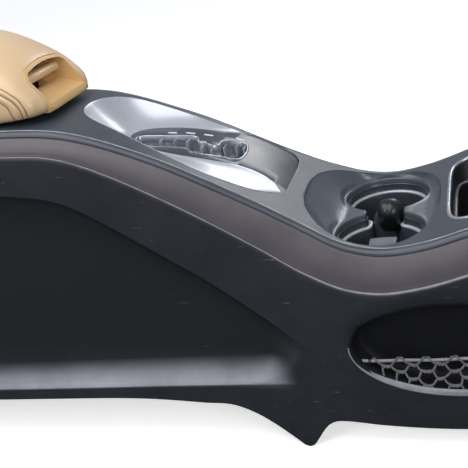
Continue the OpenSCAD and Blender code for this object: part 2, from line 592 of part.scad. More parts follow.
// Cup divider: a post across the passage with a domed nose towards the near well.
// Its sections: height from the cup deck, middle and half width along the console,
// half thickness, and reach of the nose.
fin_y = 4;
nose_x = 5.5;
fin_sections = [[-cup_d + 0.2, -0.7, 11.5, 5, 0], [-21, -0.7, 11.5, 5, 0],
  [-19, -0.7, 11.5, 5, 5.5], [-16, -0.6, 11.4, 5, 9.5], [-12, -0.4, 11.2, 5, 12],
  [-7, 0.2, 10.9, 4.8, 13], [-3, 1.4, 10, 4.4, 12.4], [0.5, 3.2, 8.2, 3.8, 10],
  [2.8, 4.6, 5.8, 3, 6.5], [3.8, 5.2, 3, 1.6, 3.2]];
function fin_ring(s, o) = [for (t = turn)
  let (p = oval(t, s[1], s[2] + o, s[2] + o, s[3] + o, 3.2), u = (p[0] - nose_x) / 10.5)
  [p[0], fin_y + p[1] - (sin(t) < 0 ? s[4] * sqrt(max(0, 1 - u * u)) : 0), cup_deck + s[0]]];
module fin_plan(o) polygon([for (p = fin_ring(fin_sections[0], o)) [p[0], p[1]]]);
module cup_divider() color("#17181a") at_cups() skin([for (s = fin_sections) fin_ring(s, 0)]);
// Flexible finger that steadies a cup, standing on the near well's ledge
tab_w = 20;
tab_reach = 18;
tab_t = 2;
tab_back = -cup_pitch / 2 - sqrt(pow(cup_r, 2) - pow(tab_w / 2 + 5, 2)) + 0.3;
module finger_face(o) polygon([[tab_back + o, cup_deck - ring_d + 0.3],
  [tab_back + o, cup_deck - 1.4 - o], [tab_back + tab_reach - 4, cup_deck - 1.4 - o],
  [tab_back + tab_reach - 1.5 - o, cup_deck - 2.4 - o],
  [tab_back + tab_reach - o, cup_deck - 5], [tab_back + tab_reach - 1.5 - o, cup_deck - 12],
  [tab_back + tab_reach - 6 - o, cup_deck - 22 + 2 * o],
  [tab_back + tab_reach - 8.5 - o, cup_deck - 22 + 2 * o]]);
module cup_grip_tab() color("#6d7076") at_cups() difference() {
  translate([5 - tab_w / 2, 0, 0]) cross_cut(tab_w) finger_face(0);
  translate([5 - tab_w / 2 + tab_t, 0, -1]) cross_cut(tab_w - 2 * tab_t) finger_face(tab_t);
  translate([5 - tab_w / 2 - 1, tab_back - 5, cup_deck - ring_d - 20])
    cube([tab_w + 2, 5 + ring_w + 0.4, 20.3]);
}
module cup_mats() color("#1b1c1e") at_cups() tower(cup_deck - cup_d + 0.2,
    cup_deck - cup_d + 2.2) difference() {
  for (s = [-1, 1]) translate([0, s * cup_pitch / 2]) circle(cup_r - ring_w - 0.4);
  fin_plan(0.6);
}

fbin_ledge = deck(fbin_x) - 18;
module front_bin() color("#1d1e21") at_cups() difference() {
  tower(fbin_floor - insert_t, deck(fbin_x + fbin_l) + 20) fbin_plan(-0.9);
  tower(fbin_ledge, 600) fbin_plan(-0.9 - insert_t);
  tower(fbin_floor, 600) fbin_plan(-7.5);
  side_cut(400) polygon(concat([for (i = [-2 : 12]) let (x = fbin_x + fbin_l * i / 10)
    [x, deck(x) - 1.6]], [[fbin_x + fbin_l * 1.2, 900], [fbin_x - fbin_l * 0.2, 900]]));
}
// Closed ring of sections, each a list of [outset, height above the deck]
module ring_solid(sec) {
  n = len(turn);
  m = len(sec);
  pts = [for (t = turn) for (q = sec) let (p = fbin_rim(t, q[0]))
    [p[0], p[1], deck(p[0]) + q[1]]];
  polyhedron(pts, [for (i = [0 : n - 1]) for (j = [0 : m - 1])
    let (a = i * m + j, b = i * m + (j + 1) % m, c = ((i + 1) % n) * m + (j + 1) % m,
      d = ((i + 1) % n) * m + j) for (f = [[a, b, c], [a, c, d]]) f], convexity = 6);
}
module front_bin_bezel() color("#c9ccd1") at_cups() ring_solid([[1.4, 0.2], [1.0, 0.95],
  [-0.6, 1.5], [-fbez_w + 1.6, 1.1], [-fbez_w, 0.1], [-fbez_w, -1.2], [-0.4, -1.2],
  [-0.4, 0.1]]);
module front_bin_mat() color("#141517") at_cups()
  tower(fbin_floor + 0.2, fbin_floor + 2.2) fbin_plan(-8.2);

hook_slot_w = 24;
module storage_bin() color("#1b1c1f") at_cups() difference() {
  union() {
    translate([-bin_x - bin_l / 2, 0, arm_h - bin_d]) linear_extrude(bin_d)
      round_rect(bin_l + 2 * insert_t, bin_w + 2 * insert_t, bin_r);
    translate([-bin_x - bin_l / 2, 0, arm_h + 0.2]) linear_extrude(1.4)
      round_rect(bin_l + 2 * insert_t + 10, bin_w + 2 * insert_t + 10, bin_r);
    translate([-bin_x - 4, -24, arm_h + 0.2]) cube([48, 48, 1.4]);
    translate([-bin_x - bin_l / 2, 0, arm_h - 1]) linear_extrude(1.6)
      round_rect(bin_l + 2 * insert_t, bin_w + 2 * insert_t, bin_r);
  }
  translate([-bin_x - bin_l / 2, 0, arm_h - bin_d + insert_t]) linear_extrude(bin_d + 9)
    round_rect(bin_l, bin_w, bin_r - 2);
  translate([-bin_x + 4.8, -hook_slot_w / 2, arm_h - 5]) cube([31, hook_slot_w, 9]);
}
module storage_bin_mat() color("#101113") at_cups()
  translate([-bin_x - bin_l / 2, 0, arm_h - bin_d + insert_t + 0.2]) linear_extrude(2)
    round_rect(bin_l - 1, bin_w - 1, bin_r - 3);

screw_xs = [-bin_x - 23, -bin_x - bin_l + 18];
module each_lid_screw() for (x = screw_xs) for (s = [-1, 1]) translate([x, s * 45, lid_z])
  children();
module lid_pan() color("#1d1e21") at_cups() difference() {
  union() {
    tower(lid_z + 0.5, lid_z + 3.5) lid_plan(pad_wall + 0.5);
    each_lid_screw() cylinder(r = 5, h = 6.8);
  }
  each_lid_screw() translate([0, 0, -1]) cylinder(r = 2.2, h = 12);
}
module armrest_base() color("#8a7a60") at_cups() difference() {
  tower(lid_z + 7, lid_z + 13.5) lid_plan(pad_wall + 0.5);
  each_lid_screw() cylinder(r = 2.1, h = 20);
}
module armrest_pad() color("#dcbb8f") at_cups() difference() {
  lid_form();
  tower(lid_z - 1, lid_z + 14) lid_plan(pad_wall);
  house_block(0.5, lid_z - 2);
  translate([-lid_x - lid_l - 5, -arm_w / 2 - 1.5, lid_z - 1])
    cube([pad_wall + 10, arm_w + 3, 10]);
}
brow = 3;
module latch_housing() color("#cfa870") at_cups() difference() {
  intersection() {
    lid_form();
    house_block(0, lid_z - 1);
  }
  intersection() {
    side_cut(house_w - 14) polygon([[-lid_x - 38, lid_z + 60], [-lid_x - 38, lid_z + 20],
      [-lid_x - 8, lid_z + 5], [-lid_x + 9, lid_z + 5], [-lid_x + 9, lid_z + 60]]);
    house_block(-brow, lid_z - 2);
  }
  translate([-lid_x - 46, -27, lid_z + 20]) cube([9, 42, 9]);
  intersection() {
    translate([house_x + 3, -house_w / 2 + 6, lid_z - 1])
      cube([-lid_x - 41.5 - house_x - 3, house_w - 12, 50]);
    house_block(-2.4, lid_z - 2);
  }
  translate([-lid_x - 42, -20, lid_z + 24]) cube([5, 40, 12.5]);
  translate([latch_px, 0, latch_pz]) rotate([90, 0, 0])
    cylinder(r = latch_pin_r + pin_gap, h = house_w - 4, center = true);
}
module latch_handle() color("#d3ad76") at_cups() difference() {
  union() {
    side_cut(grip_w) polygon([for (p = [[13.5, -4], [21, -4.4], [23.6, -2.6], [24, 0.6],
      [22, 3], [13.5, 3]]) [latch_px + p[0], latch_pz + p[1]]]);
    side_cut(36) polygon([for (p = [[-2, -2.6], [15, -2.6], [15, 2.6], [-2, 2.6]])
      [latch_px + p[0], latch_pz + p[1]]]);
    translate([latch_px, 0, latch_pz]) rotate([90, 0, 0])
      cylinder(r = 4, h = 36, center = true);
    side_cut(18) polygon([for (p = [[-5.8, 0], [-5.8, -17], [1.5, -17], [3, 0]])
      [latch_px + p[0], latch_pz + p[1]]]);
  }
  translate([latch_px, 0, latch_pz]) rotate([90, 0, 0])
    cylinder(r = latch_pin_r + pin_gap, h = 60, center = true);
}
hook_z = lid_z - 9.6;
module latch_hook() color("#9a9da2") at_cups() {
  translate([hook_x, -7, hook_z]) cube([hook_t, 14, latch_pz - 4.5 - hook_z]);
  translate([hook_x - tooth_l, -7, hook_z]) cube([tooth_l + hook_t, 14, 2.6]);
}
module latch_pin() color("#b5b8bd") at_cups() translate([latch_px, 0, latch_pz])
  rotate([90, 0, 0]) cylinder(r = latch_pin_r, h = house_w - 6, center = true);
coil_r = 3.1;
wire_r = 0.6;
wire_d = 2 * wire_r;
coils = 5;
module latch_spring() color("#a7aab0") at_cups() translate([latch_px, 21, latch_pz])
  rotate([-90, 0, 0]) {
    rotate_extrude() polygon(concat([[coil_r - wire_r, coils * wire_d], [coil_r - wire_r, 0]],
      [for (i = [0 : 2 * coils]) [coil_r + (i % 2) * wire_d / 2, i * wire_d / 2]]));
    translate([coil_r - wire_r + 0.1, -5, 0.1]) cube([wire_r, 5, wire_r]);
    translate([-coil_r, 0, (coils - 0.6) * wire_d]) cube([wire_r, 8, wire_r]);
  }
module latch_striker() color("#8d9096") at_cups() {
  translate([-bin_x + insert_t + 0.3, -11, arm_h - 18]) cube([2, 22, 14]);
  translate([-bin_x + insert_t + 0.3, -11, arm_h - 6])
    cube([hook_x - tooth_l - 0.6 + bin_x - insert_t - 0.3, 22, 2]);
}

knuckle_r = 5;
arm_w = 56;
ear_t = 4.5;
module hinge_arm() color("#6f7277") at_cups() difference() {
  union() {
    translate([hinge_px, 0, hinge_pz]) rotate([90, 0, 0])
      cylinder(r = knuckle_r, h = arm_w, center = true);
    translate([hinge_px, -arm_w / 2, lid_z + 3.8]) cube([62, arm_w, 2.5]);
  }
  translate([hinge_px, 0, hinge_pz]) rotate([90, 0, 0])
    cylinder(r = hinge_pin_r + pin_gap, h = arm_w + 2, center = true);
}
module hinge_bracket() color("#56595e") at_cups() difference() {
  union() {
    translate([hinge_px - 36, -arm_w / 2 - 12, arm_h + 0.2]) cube([28, arm_w + 24, 2.4]);
    for (s = [-1, 1]) translate([hinge_px, s * (arm_w / 2 + 0.4 + ear_t / 2), 0]) {
      translate([0, 0, hinge_pz]) rotate([90, 0, 0])
        cylinder(r = knuckle_r, h = ear_t, center = true);
      translate([-12, -ear_t / 2, arm_h + 0.2]) cube([12, ear_t, hinge_pz - arm_h]);
    }
  }
  translate([hinge_px, 0, hinge_pz]) rotate([90, 0, 0])
    cylinder(r = hinge_pin_r + pin_gap, h = 200, center = true);
  for (s = [-1, 1]) translate([hinge_px - 26, s * 28, arm_h - 5]) cylinder(r = 2.6, h = 12);
}
module hinge_pin() color("#b5b8bd") at_cups() translate([hinge_px, 0, hinge_pz])
  rotate([90, 0, 0]) cylinder(r = hinge_pin_r, h = arm_w + 2 * ear_t + 3, center = true);
stop_xs = [-bin_x - 58, -bin_x - bin_l + 23];
module bump_stops() color("#111214") at_cups() for (x = stop_xs) for (s = [-1, 1])
  translate([x, s * (bin_w / 2 + insert_t + 8), arm_h + 0.1])
    cylinder(r = 2.8, h = lid_gap + 0.2);
module lid_screws() color("#8d9096") at_cups() each_lid_screw() {
  translate([0, 0, -2]) cylinder(r = 3.6, h = 1.9);
  translate([0, 0, -1]) cylinder(r = 1.9, h = 13.5);
}

// Net pocket, drawn on the left side and mirrored to the right
pocket_y = cup_pitch / 2 + cup_r + 2 * insert_t + 1.5;
function mouth_ring(o, dy) = [for (t = turn) let (p = mouth(180 - t, o))
  [p[0], side_y(p[0], p[1]) + dy, p[1]]];
function flat_ring(o, y) = [for (t = turn) let (p = mouth(180 - t, o)) [p[0], y, p[1]]];
module pocket_tub() color("#24262a") at_cups() mirror_y() skin([
  flat_ring(-8, pocket_y), flat_ring(-5.4, pocket_y + 2.5), mouth_ring(-3, -5),
  mouth_ring(-1.2, 0.4), mouth_ring(0.6, 1), mouth_ring(2.2, 0.3),
  mouth_ring(2.2, -wall - 0.8), mouth_ring(-0.6, -wall - 1.2), flat_ring(-3, pocket_y + 1.5),
  flat_ring(-6, pocket_y - insert_t)]);
mesh_h = mesh_w * 0.5;
module pocket_net() color("#77797d") at_cups() translate([0, net_y, 0]) side_cut(net_t)
  difference() {
    intersection() {
      mouth_plan(-5);
      translate([pocket_x - cord_half + 0.3, net_z - 100]) square([2 * cord_half - 0.6, 100]);
    }
    for (i = [-4 : 4]) for (j = [0 : 3])
      translate([pocket_x + i * mesh_w, net_z - mesh_h * (j + 0.62 + (i % 2 == 0 ? 0 : 0.5))])
        polygon([for (k = [[1, 0], [0.5, 1], [-0.5, 1], [-1, 0], [-0.5, -1], [0.5, -1]])
          [k[0] * (mesh_w / 1.5 - net_t * 0.7), k[1] * (mesh_h - net_t) / 2]]);
  }
cord_r = 1.5;
cord_z = net_z + cord_r + 0.15;
// The hooks' lower corners sit against the pocket's wall
hook_r = 2.4;
hook_l = 2.4;
tub_in = 4.1;
cord_half = (pocket_a - tub_in) * sqrt(1 - pow((pocket_h - cord_z + hook_r)
  / (pocket_dn - tub_in), 2)) - hook_l - 0.2;
module net_elastic() color("#8b8d91") at_cups() translate([pocket_x, net_y, cord_z])
  rotate([0, 90, 0]) cylinder(r = cord_r, h = 2 * cord_half, center = true);
module net_hooks() color("#2a2c30") at_cups() for (s = [-1, 1])
  translate([pocket_x + s * (cord_half + 0.2 + hook_l / 2), net_y, cord_z]) rotate([0, 90, 0])
    cylinder(r = hook_r, h = hook_l, center = true);

// Steel feet and their bolts
foot_d = 42;
foot_rim = 18;
screw_up = 36;
foot_up = screw_up + 14;
bolt_rows = [hem_rear + screw_up, hem_front + screw_up];
module foot(w, h) difference() {
  union() {
    translate([0, -w / 2, 0]) cube([foot_d, w, steel_t]);
    translate([0, -w / 2, 0]) cube([steel_t, w, h]);
    for (s = [-1, 1]) translate([0, s * (w / 2 - steel_t / 2), 0]) rotate([90, 0, 0])
      linear_extrude(steel_t, center = true) polygon([[0, 0], [foot_d * 0.7, 0], [0, h * 0.6]]);
  }
  for (s = [-1, 1]) {
    translate([foot_d * 0.6, s * bolt_pitch / 2, -1]) cylinder(d = bolt_d, h = 10);
    translate([-1, s * 40, h - 14]) rotate([0, 90, 0]) cylinder(r = 3.2, h = 10);
  }
}
module rear_bracket() color("#7f8287") at_cups()
  translate([-rear_len + end_t + 0.2, 0, 0]) foot(bolt_pitch + 2 * foot_rim, hem_rear + foot_up);
module front_bracket() color("#7f8287") at_cups()
  translate([front_len - end_t - 0.7, 0, 0]) mirror([1, 0, 0])
    foot(bolt_pitch + 2 * foot_rim, hem_front + foot_up);
module bolt() rotate([0, 90, 0]) {
  cylinder(r = 5.5, h = 3.6);
  translate([0, 0, -4.8]) cylinder(r = 2.9, h = 5);
}
module bracket_bolts() color("#9a9da2") at_cups() for (s = [-1, 1]) {
  translate([-rear_len + end_t + 0.4 + steel_t, s * 40, bolt_rows[0]]) bolt();
  translate([front_len - end_t - 0.9 - steel_t, s * 40, bolt_rows[1]]) mirror([1, 0, 0]) bolt();
}

top_panel();
side_panel_right();
side_panel_left();
trim_strip_right();
trim_strip_left();
carrier_frame();
rear_panel();
front_panel();
shifter_bezel();
gate_plate();
gate_liner();
gate_guide();
position_marks();
cup_insert();
cup_divider();
cup_grip_tab();
cup_mats();
front_bin();
front_bin_bezel();
front_bin_mat();
storage_bin();
storage_bin_mat();
lid_pan();
armrest_base();
armrest_pad();
latch_housing();
latch_handle();
latch_hook();
latch_pin();
latch_spring();
latch_striker();
hinge_bracket();
hinge_arm();
hinge_pin();
bump_stops();
pocket_tub();
pocket_net();
net_elastic();
net_hooks();
rear_bracket();
front_bracket();
bracket_bolts();
lid_screws();
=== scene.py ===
# %% [markdown]
# A centre console from a car: a long moulded box with a padded armrest, a shifter
# surround, two cup wells, a bin and a net pocket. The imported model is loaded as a
# fixed frame, and every skin that the eye meets is modelled again round it, finer.

# %% Load the frame
import math
import random
from functools import lru_cache
import bpy
from mathutils import Matrix, Vector


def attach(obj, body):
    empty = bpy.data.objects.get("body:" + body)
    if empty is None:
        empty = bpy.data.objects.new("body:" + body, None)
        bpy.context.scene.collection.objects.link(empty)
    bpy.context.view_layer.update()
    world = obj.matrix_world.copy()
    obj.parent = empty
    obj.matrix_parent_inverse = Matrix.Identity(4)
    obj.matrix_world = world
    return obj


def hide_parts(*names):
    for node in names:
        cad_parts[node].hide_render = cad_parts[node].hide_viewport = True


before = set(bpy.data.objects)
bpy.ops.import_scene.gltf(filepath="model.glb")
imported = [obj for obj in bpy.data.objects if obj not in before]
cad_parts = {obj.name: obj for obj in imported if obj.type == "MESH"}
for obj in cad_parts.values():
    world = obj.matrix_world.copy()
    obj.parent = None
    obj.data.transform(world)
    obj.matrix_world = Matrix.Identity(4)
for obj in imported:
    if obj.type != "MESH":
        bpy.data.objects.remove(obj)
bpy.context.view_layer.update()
bpy.ops.object.select_all(action="DESELECT")

# %% [markdown]
# The sizes below are in millimetres, measured from the cup line: x runs forward, y to
# the far side and z up from the floor. One function turns them into the frame's metres.

# %% Driving sizes
MM = 0.001
CUP_X = 200.0
REAR, FRONT = -650.0, 250.0
CUP_H, ARM_H, SLOPE = 198.0, 340.0, 330.0
WALL, SEAM = 3.0, 0.4


def at(x, y, z):
    """A point in millimetres from the cup line, as a place in the frame."""
    return Vector(((x + CUP_X) * MM, y * MM, z * MM))


# %% [markdown]
# The camera comes first. It stands where the photographer's stood: to the right of the
# console's middle, a little above it, and tilted, because the picture was taken by hand.

# %% Camera
AZIMUTH, ELEVATION, ROLL = (math.radians(v) for v in (19.79, 22.89, -12.46))
back = Vector((math.sin(AZIMUTH) * math.cos(ELEVATION),
               -math.cos(AZIMUTH) * math.cos(ELEVATION), math.sin(ELEVATION)))
level = Vector((math.cos(AZIMUTH), math.sin(AZIMUTH), 0.0))
upward = back.cross(level)
right = math.cos(ROLL) * level + math.sin(ROLL) * upward
top = math.cos(ROLL) * upward - math.sin(ROLL) * level
cam_data = bpy.data.cameras.new("camera")
cam_data.sensor_width = 36.0
cam_data.lens = 62.25
cam_data.clip_start, cam_data.clip_end = 0.02, 50.0
camera = bpy.data.objects.new("camera", cam_data)
bpy.context.scene.collection.objects.link(camera)
place = Matrix((right, top, back)).transposed().to_4x4()
place.translation = at(104.1, -717.4, 503.4)
camera.matrix_world = place
bpy.context.scene.camera = camera
print("camera at", [round(v, 3) for v in camera.location])

# %% [markdown]
# Colours are written as they are read off a colour chart, in sRGB hex, and one function
# turns them to the linear values that the shaders take. One more function adds a node.

# %% Colour and node helpers
bpy.context.scene.view_settings.view_transform = "Standard"


def srgb(code):
    """Linear RGBA of a hex colour."""
    parts = [int(code[i:i + 2], 16) / 255 for i in (1, 3, 5)]
    return (*[p / 12.92 if p <= 0.04045 else ((p + 0.055) / 1.055) ** 2.4 for p in parts], 1.0)


def add(tree, kind, links=(), **settings):
    """Adds one node. A setting that names a socket fills it, any other is an attribute."""
    node = tree.nodes.new(kind)
    sockets = {s.name.replace(" ", "_"): s for s in reversed(node.inputs)}
    for key, value in settings.items():
        if key.startswith("in") and key[2:].isdigit():
            node.inputs[int(key[2:])].default_value = value
        elif key in sockets and not hasattr(node, key):
            sockets[key].default_value = value
        else:
            setattr(node, key, value)
    for output, name in links:
        target = node.inputs[name] if isinstance(name, int) else sockets[name]
        tree.links.new(output, target)
    return node


# %% [markdown]
# The stage is a plain pale floor under plain soft studio light. The world is white for
# the camera and dimmer as light and in reflections, so dark plastic stays dark, and the
# softboxes overhead and behind give the upper faces their sheen.

# %% Stage
def stage_material():
    mat = bpy.data.materials.new("studio_floor")
    mat.use_nodes = True
    tree = mat.node_tree
    tree.nodes.clear()
    matt = add(tree, "ShaderNodeBsdfDiffuse", Color=srgb("#ffffff"))
    dull = add(tree, "ShaderNodeBsdfDiffuse", Color=srgb("#77797d"))
    glow = add(tree, "ShaderNodeEmission", Color=(1.0, 1.0, 1.0, 1.0), Strength=0.6)
    both = add(tree, "ShaderNodeAddShader", [(matt.outputs[0], 0), (glow.outputs[0], 1)])
    ray = add(tree, "ShaderNodeLightPath")
    seen = add(tree, "ShaderNodeMixShader", [(ray.outputs["Is Camera Ray"], 0),
               (dull.outputs[0], 1), (both.outputs[0], 2)])
    add(tree, "ShaderNodeOutputMaterial", [(seen.outputs[0], 0)])
    return mat


bpy.ops.mesh.primitive_plane_add(size=30.0, location=(0.0, 0.0, -0.0004))
floor = bpy.context.object
floor.name = "studio_floor"
floor.data.materials.append(stage_material())
floor.select_set(False)

world = bpy.data.worlds.new("studio")
bpy.context.scene.world = world
world.use_nodes = True
tree = world.node_tree
tree.nodes.clear()
shown = add(tree, "ShaderNodeLightPath")
white = add(tree, "ShaderNodeBackground", Color=(1.0, 1.0, 1.0, 1.0), Strength=1.0)
soft = add(tree, "ShaderNodeBackground", Color=srgb("#f2f5ff"), Strength=0.38)
sky = add(tree, "ShaderNodeMixShader", [(shown.outputs["Is Camera Ray"], 0), (soft.outputs[0], 1),
          (white.outputs[0], 2)])
add(tree, "ShaderNodeOutputWorld", [(sky.outputs[0], 0)])


def lamp(name, place_at, look_at, size, power):
    data = bpy.data.lights.new(name, "AREA")
    data.shape = "RECTANGLE"
    data.size, data.size_y = size
    data.energy = power
    ob = bpy.data.objects.new(name, data)
    bpy.context.scene.collection.objects.link(ob)
    ob.location = place_at
    aim = Vector(look_at) - Vector(place_at)
    ob.rotation_euler = aim.to_track_quat("-Z", "Y").to_euler()
    return ob


lamp("overhead_softbox", (-0.3, -0.45, 1.7), (0.0, 0.0, 0.2), (2.2, 1.1), 23.0)
lamp("front_softbox", (-1.2, -1.7, 1.5), (-0.1, 0.0, 0.2), (0.9, 0.7), 12.0)
lamp("side_softbox", (1.5, -1.6, 0.95), (-0.2, 0.0, 0.25), (0.7, 0.7), 10.0)
lamp("rear_softbox", (0.5, 1.9, 1.3), (0.0, 0.0, 0.2), (0.8, 0.6), 6.5)
print("stage set")

# %% [markdown]
# The console's skins are long lofted sheets: each follows a few curves along its length.
# A curve here passes smoothly through a handful of points, level at its highs and lows.

# %% Curves
def mix(a, b, t):
    return a + (b - a) * t


def clamp(t):
    return min(1.0, max(0.0, t))


def smooth(t):
    c = clamp(t)
    return c * c * (3 - 2 * c)


def curve(points, x):
    """Height of a smooth curve through [x, value] points."""
    last = len(points) - 2
    i = 0
    while i < last and x >= points[i + 1][0]:
        i += 1

    def chord(k):
        return (points[k + 1][1] - points[k][1]) / (points[k + 1][0] - points[k][0])

    def gap(k):
        return points[k + 1][0] - points[k][0]

    def grade(k):
        if k == 0:
            return chord(0)
        if k == last + 1:
            return chord(last)
        if chord(k - 1) * chord(k) <= 0:
            return 0.0
        return (chord(k - 1) * gap(k) + chord(k) * gap(k - 1)) / (gap(k) + gap(k - 1))

    h = gap(i)
    t = clamp((x - points[i][0]) / h)
    a, b = points[i][1], points[i + 1][1]
    return (a * (1 + 2 * t) * (1 - t) ** 2 + grade(i) * h * t * (1 - t) ** 2
            + b * t * t * (3 - 2 * t) + grade(i + 1) * h * t * t * (t - 1))


def steps(a, b, n):
    """n equal steps from a to b, both ends included."""
    return [mix(a, b, i / n) for i in range(n + 1)]


# %% [markdown]
# Seen from the side the deck is level under the armrest, falls in an S past the shifter
# to the cups, and rises again to the front. From above its edge pinches in at the
# shifter. The side panel hangs from a lip below the padded strip, and a long scoop with
# a sloping ledge is pressed into it. Each of these is a short table that the curve
# function runs through, so that every skin reads the same body.

# %% Shape of the body
DECK = [[REAR, 1], [-1.2 * SLOPE, 1], [-SLOPE, 0.98], [-0.85 * SLOPE, 0.93],
        [-0.6 * SLOPE, 0.703], [-0.3 * SLOPE, 0.311], [-0.18 * SLOPE, 0.153],
        [-0.08 * SLOPE, 0.042], [8, 0], [40, 0.027], [80, 0.105], [FRONT, 0.5]]
WAIST, CUPS, NOSE = 66.5, 89.5, 97.0
FLARE = CUPS - WAIST
EDGE = [[REAR, 72], [-340, 70], [-222, WAIST], [-160, WAIST + 0.09 * FLARE],
        [-90, WAIST + 0.25 * FLARE], [-60, WAIST + 0.47 * FLARE],
        [-40, WAIST + 0.72 * FLARE], [0, CUPS], [40, mix(CUPS, NOSE, 0.47)],
        [80, mix(CUPS, NOSE, 0.7)], [FRONT, NOSE]]
ROLL_OUT, ROLL_DROP = 6.6, 5.0
DROP = [[REAR, 0.57], [-300, 0.57], [-278, 0.59], [-230, 0.735], [-185, 0.885],
        [-140, 0.985], [-104, 1.085], [-67, 1.18], [-33, 1.08], [0, 1], [60, 0.94],
        [FRONT, 0.94]]
RIDGE = [[REAR, 35], [-342, 36.5], [-288, 41.5], [-241, 51], [-196, 57.5], [-154, 61.5],
         [-118, 67], [-85, 74], [-60, 85], [FRONT, 85]]
LIP_H, LEDGE_H, SCOOP, FOOT, BELLY = 71.0, 24.0, 14.0, 109.0, 4.0
TAB_X, TAB_R = -85.0, 4.5
HEM_BACK = [[REAR, 58], [TAB_X - 245, 58], [TAB_X - 155, 56], [TAB_X - 100, 51],
            [TAB_X - 65, 47], [TAB_X - 49, 39.4], [TAB_X - 30, 25.5], [TAB_X - 13, 9.9],
            [TAB_X - 3, 0]]
HEM_FORE = [[TAB_X + 3, 0], [TAB_X + 8, 6], [TAB_X + 14, 15], [TAB_X + 21, 24],
            [TAB_X + 29, 29], [TAB_X + 37, 30], [TAB_X + 75, 26], [TAB_X + 148, 22],
            [FRONT, 22]]


@lru_cache(maxsize=None)
def deck(x):
    return CUP_H + (ARM_H - CUP_H) * curve(DECK, x)


@lru_cache(maxsize=None)
def edge(x):
    return curve(EDGE, x)


def crown(x):
    return 3.0 * smooth((-x - 120) / 120) * smooth((x + 370) / 70)


def deck_at(x, y):
    return deck(x) + crown(x) * (1 - min(1.0, abs(y) / edge(x)) ** 2)


@lru_cache(maxsize=None)
def lip_z(x):
    return deck(x) - 35.0 * curve(DROP, x)


def lip_y(x):
    return edge(x) + 18.0


@lru_cache(maxsize=None)
def scoop_top(x):
    return max(LIP_H + 22, lip_z(x) - curve(RIDGE, x))


def scoop_led(x):
    return min(LEDGE_H, 0.35 * (scoop_top(x) - LIP_H))


def scoop_wide(x):
    return min(24.0, 0.3 * (scoop_top(x) - LIP_H))


def scoop_fade(x, z):
    low, high = clamp((z - LIP_H) / 18), clamp((z - LIP_H - 9) / 35)
    return (smooth((-x - 97 + high * 37 - 26 * (1 - low) ** 2) / (14 + 40 * high))
            * smooth((x - REAR - 30) / 45))


def scoop(x, z):
    return (SCOOP * scoop_fade(x, z)
            * (1 - (1 - clamp((scoop_top(x) - z) / scoop_wide(x))) ** 2)
            * (1 - (1 - clamp((z - LIP_H) / scoop_led(x))) ** 2))


def side_y(x, z):
    u = clamp((lip_z(x) - z) / lip_z(x))
    return (mix(lip_y(x) + 2, FOOT, u) + BELLY * math.sin(math.pi * u ** 0.85) - scoop(x, z))


def hem_z(x):
    """Lower edge of the side panel, with the round tip of the fixing tab."""
    if abs(x - TAB_X) < 3.2:
        return TAB_R - math.sqrt(TAB_R ** 2 - (x - TAB_X) ** 2)
    return max(curve(HEM_BACK if x < TAB_X else HEM_FORE, x), 1.4)


print("deck heights", [round(deck(x)) for x in range(-600, 251, 100)])

# %% [markdown]
# Every new piece starts as one of Blender's primitives with nothing else selected. A
# grid is laid on a surface row by row, a ring is pushed up into a prism, and a few
# helpers thicken, cut and round the result and then hand it to its body.

# %% Selecting and modifiers
def alone(ob):
    """Makes ob the only selected object, and the active one."""
    if bpy.context.mode != "OBJECT":
        bpy.ops.object.mode_set(mode="OBJECT")
    bpy.ops.object.select_all(action="DESELECT")
    ob.select_set(True)
    bpy.context.view_layer.objects.active = ob
    return ob


def named(name):
    ob = bpy.context.object
    ob.name = ob.data.name = name
    return ob


def apply_modifier(ob, kind, **settings):
    alone(ob)
    mod = ob.modifiers.new(kind.lower(), kind)
    for key, value in settings.items():
        setattr(mod, key, value)
    bpy.ops.object.modifier_apply(modifier=mod.name)
    return ob


def cut(ob, *cutters, how="DIFFERENCE"):
    for cutter in cutters:
        apply_modifier(ob, "BOOLEAN", operation=how, object=cutter, solver="EXACT")
        bpy.data.objects.remove(cutter)
    return ob


def thicken(ob, mm):
    return apply_modifier(ob, "SOLIDIFY", thickness=mm * MM, offset=-1.0, use_even_offset=True)


def round_edges(ob, mm, angle=35.0, segments=2):
    return apply_modifier(ob, "BEVEL", width=mm * MM, segments=segments,
                          limit_method="ANGLE", angle_limit=math.radians(angle),
                          harden_normals=False)


def edited(ob, *steps_to_take):
    """Runs edit mode operators on all of ob."""
    alone(ob)
    bpy.ops.object.mode_set(mode="EDIT")
    for step in steps_to_take:
        bpy.ops.mesh.select_all(action="SELECT")
        step()
    bpy.ops.object.mode_set(mode="OBJECT")
    return ob


def merge():
    bpy.ops.mesh.remove_doubles(threshold=0.01 * MM)


def cap():
    bpy.ops.mesh.fill_holes(sides=0)


def turn_out():
    bpy.ops.mesh.normals_make_consistent(inside=False)


# %% [markdown]
# Four ways of laying a mesh serve the whole console: an open sheet on a surface, a
# closed skin over rings, a band that follows an outline, and a round bead on a path.
# The numbers that go in are millimetres from the cup line.

# %% Laying a mesh
def laid_grid(name, us, vs, spot, out=None):
    """A grid primitive whose crossings are carried to spot(u, v), facing along out."""
    bpy.ops.object.select_all(action="DESELECT")
    bpy.ops.mesh.primitive_grid_add(x_subdivisions=len(us) - 1, y_subdivisions=len(vs) - 1,
                                    size=2)
    ob = named(name)
    for vert in ob.data.vertices:
        i = round((vert.co.x + 1) / 2 * (len(us) - 1))
        j = round((vert.co.y + 1) / 2 * (len(vs) - 1))
        vert.co = at(*spot(us[i], vs[j]))
    if out:
        total = sum((f.normal * f.area for f in ob.data.polygons), Vector())
        if total.dot(Vector(out)) < 0:
            edited(ob, bpy.ops.mesh.flip_normals)
    return ob


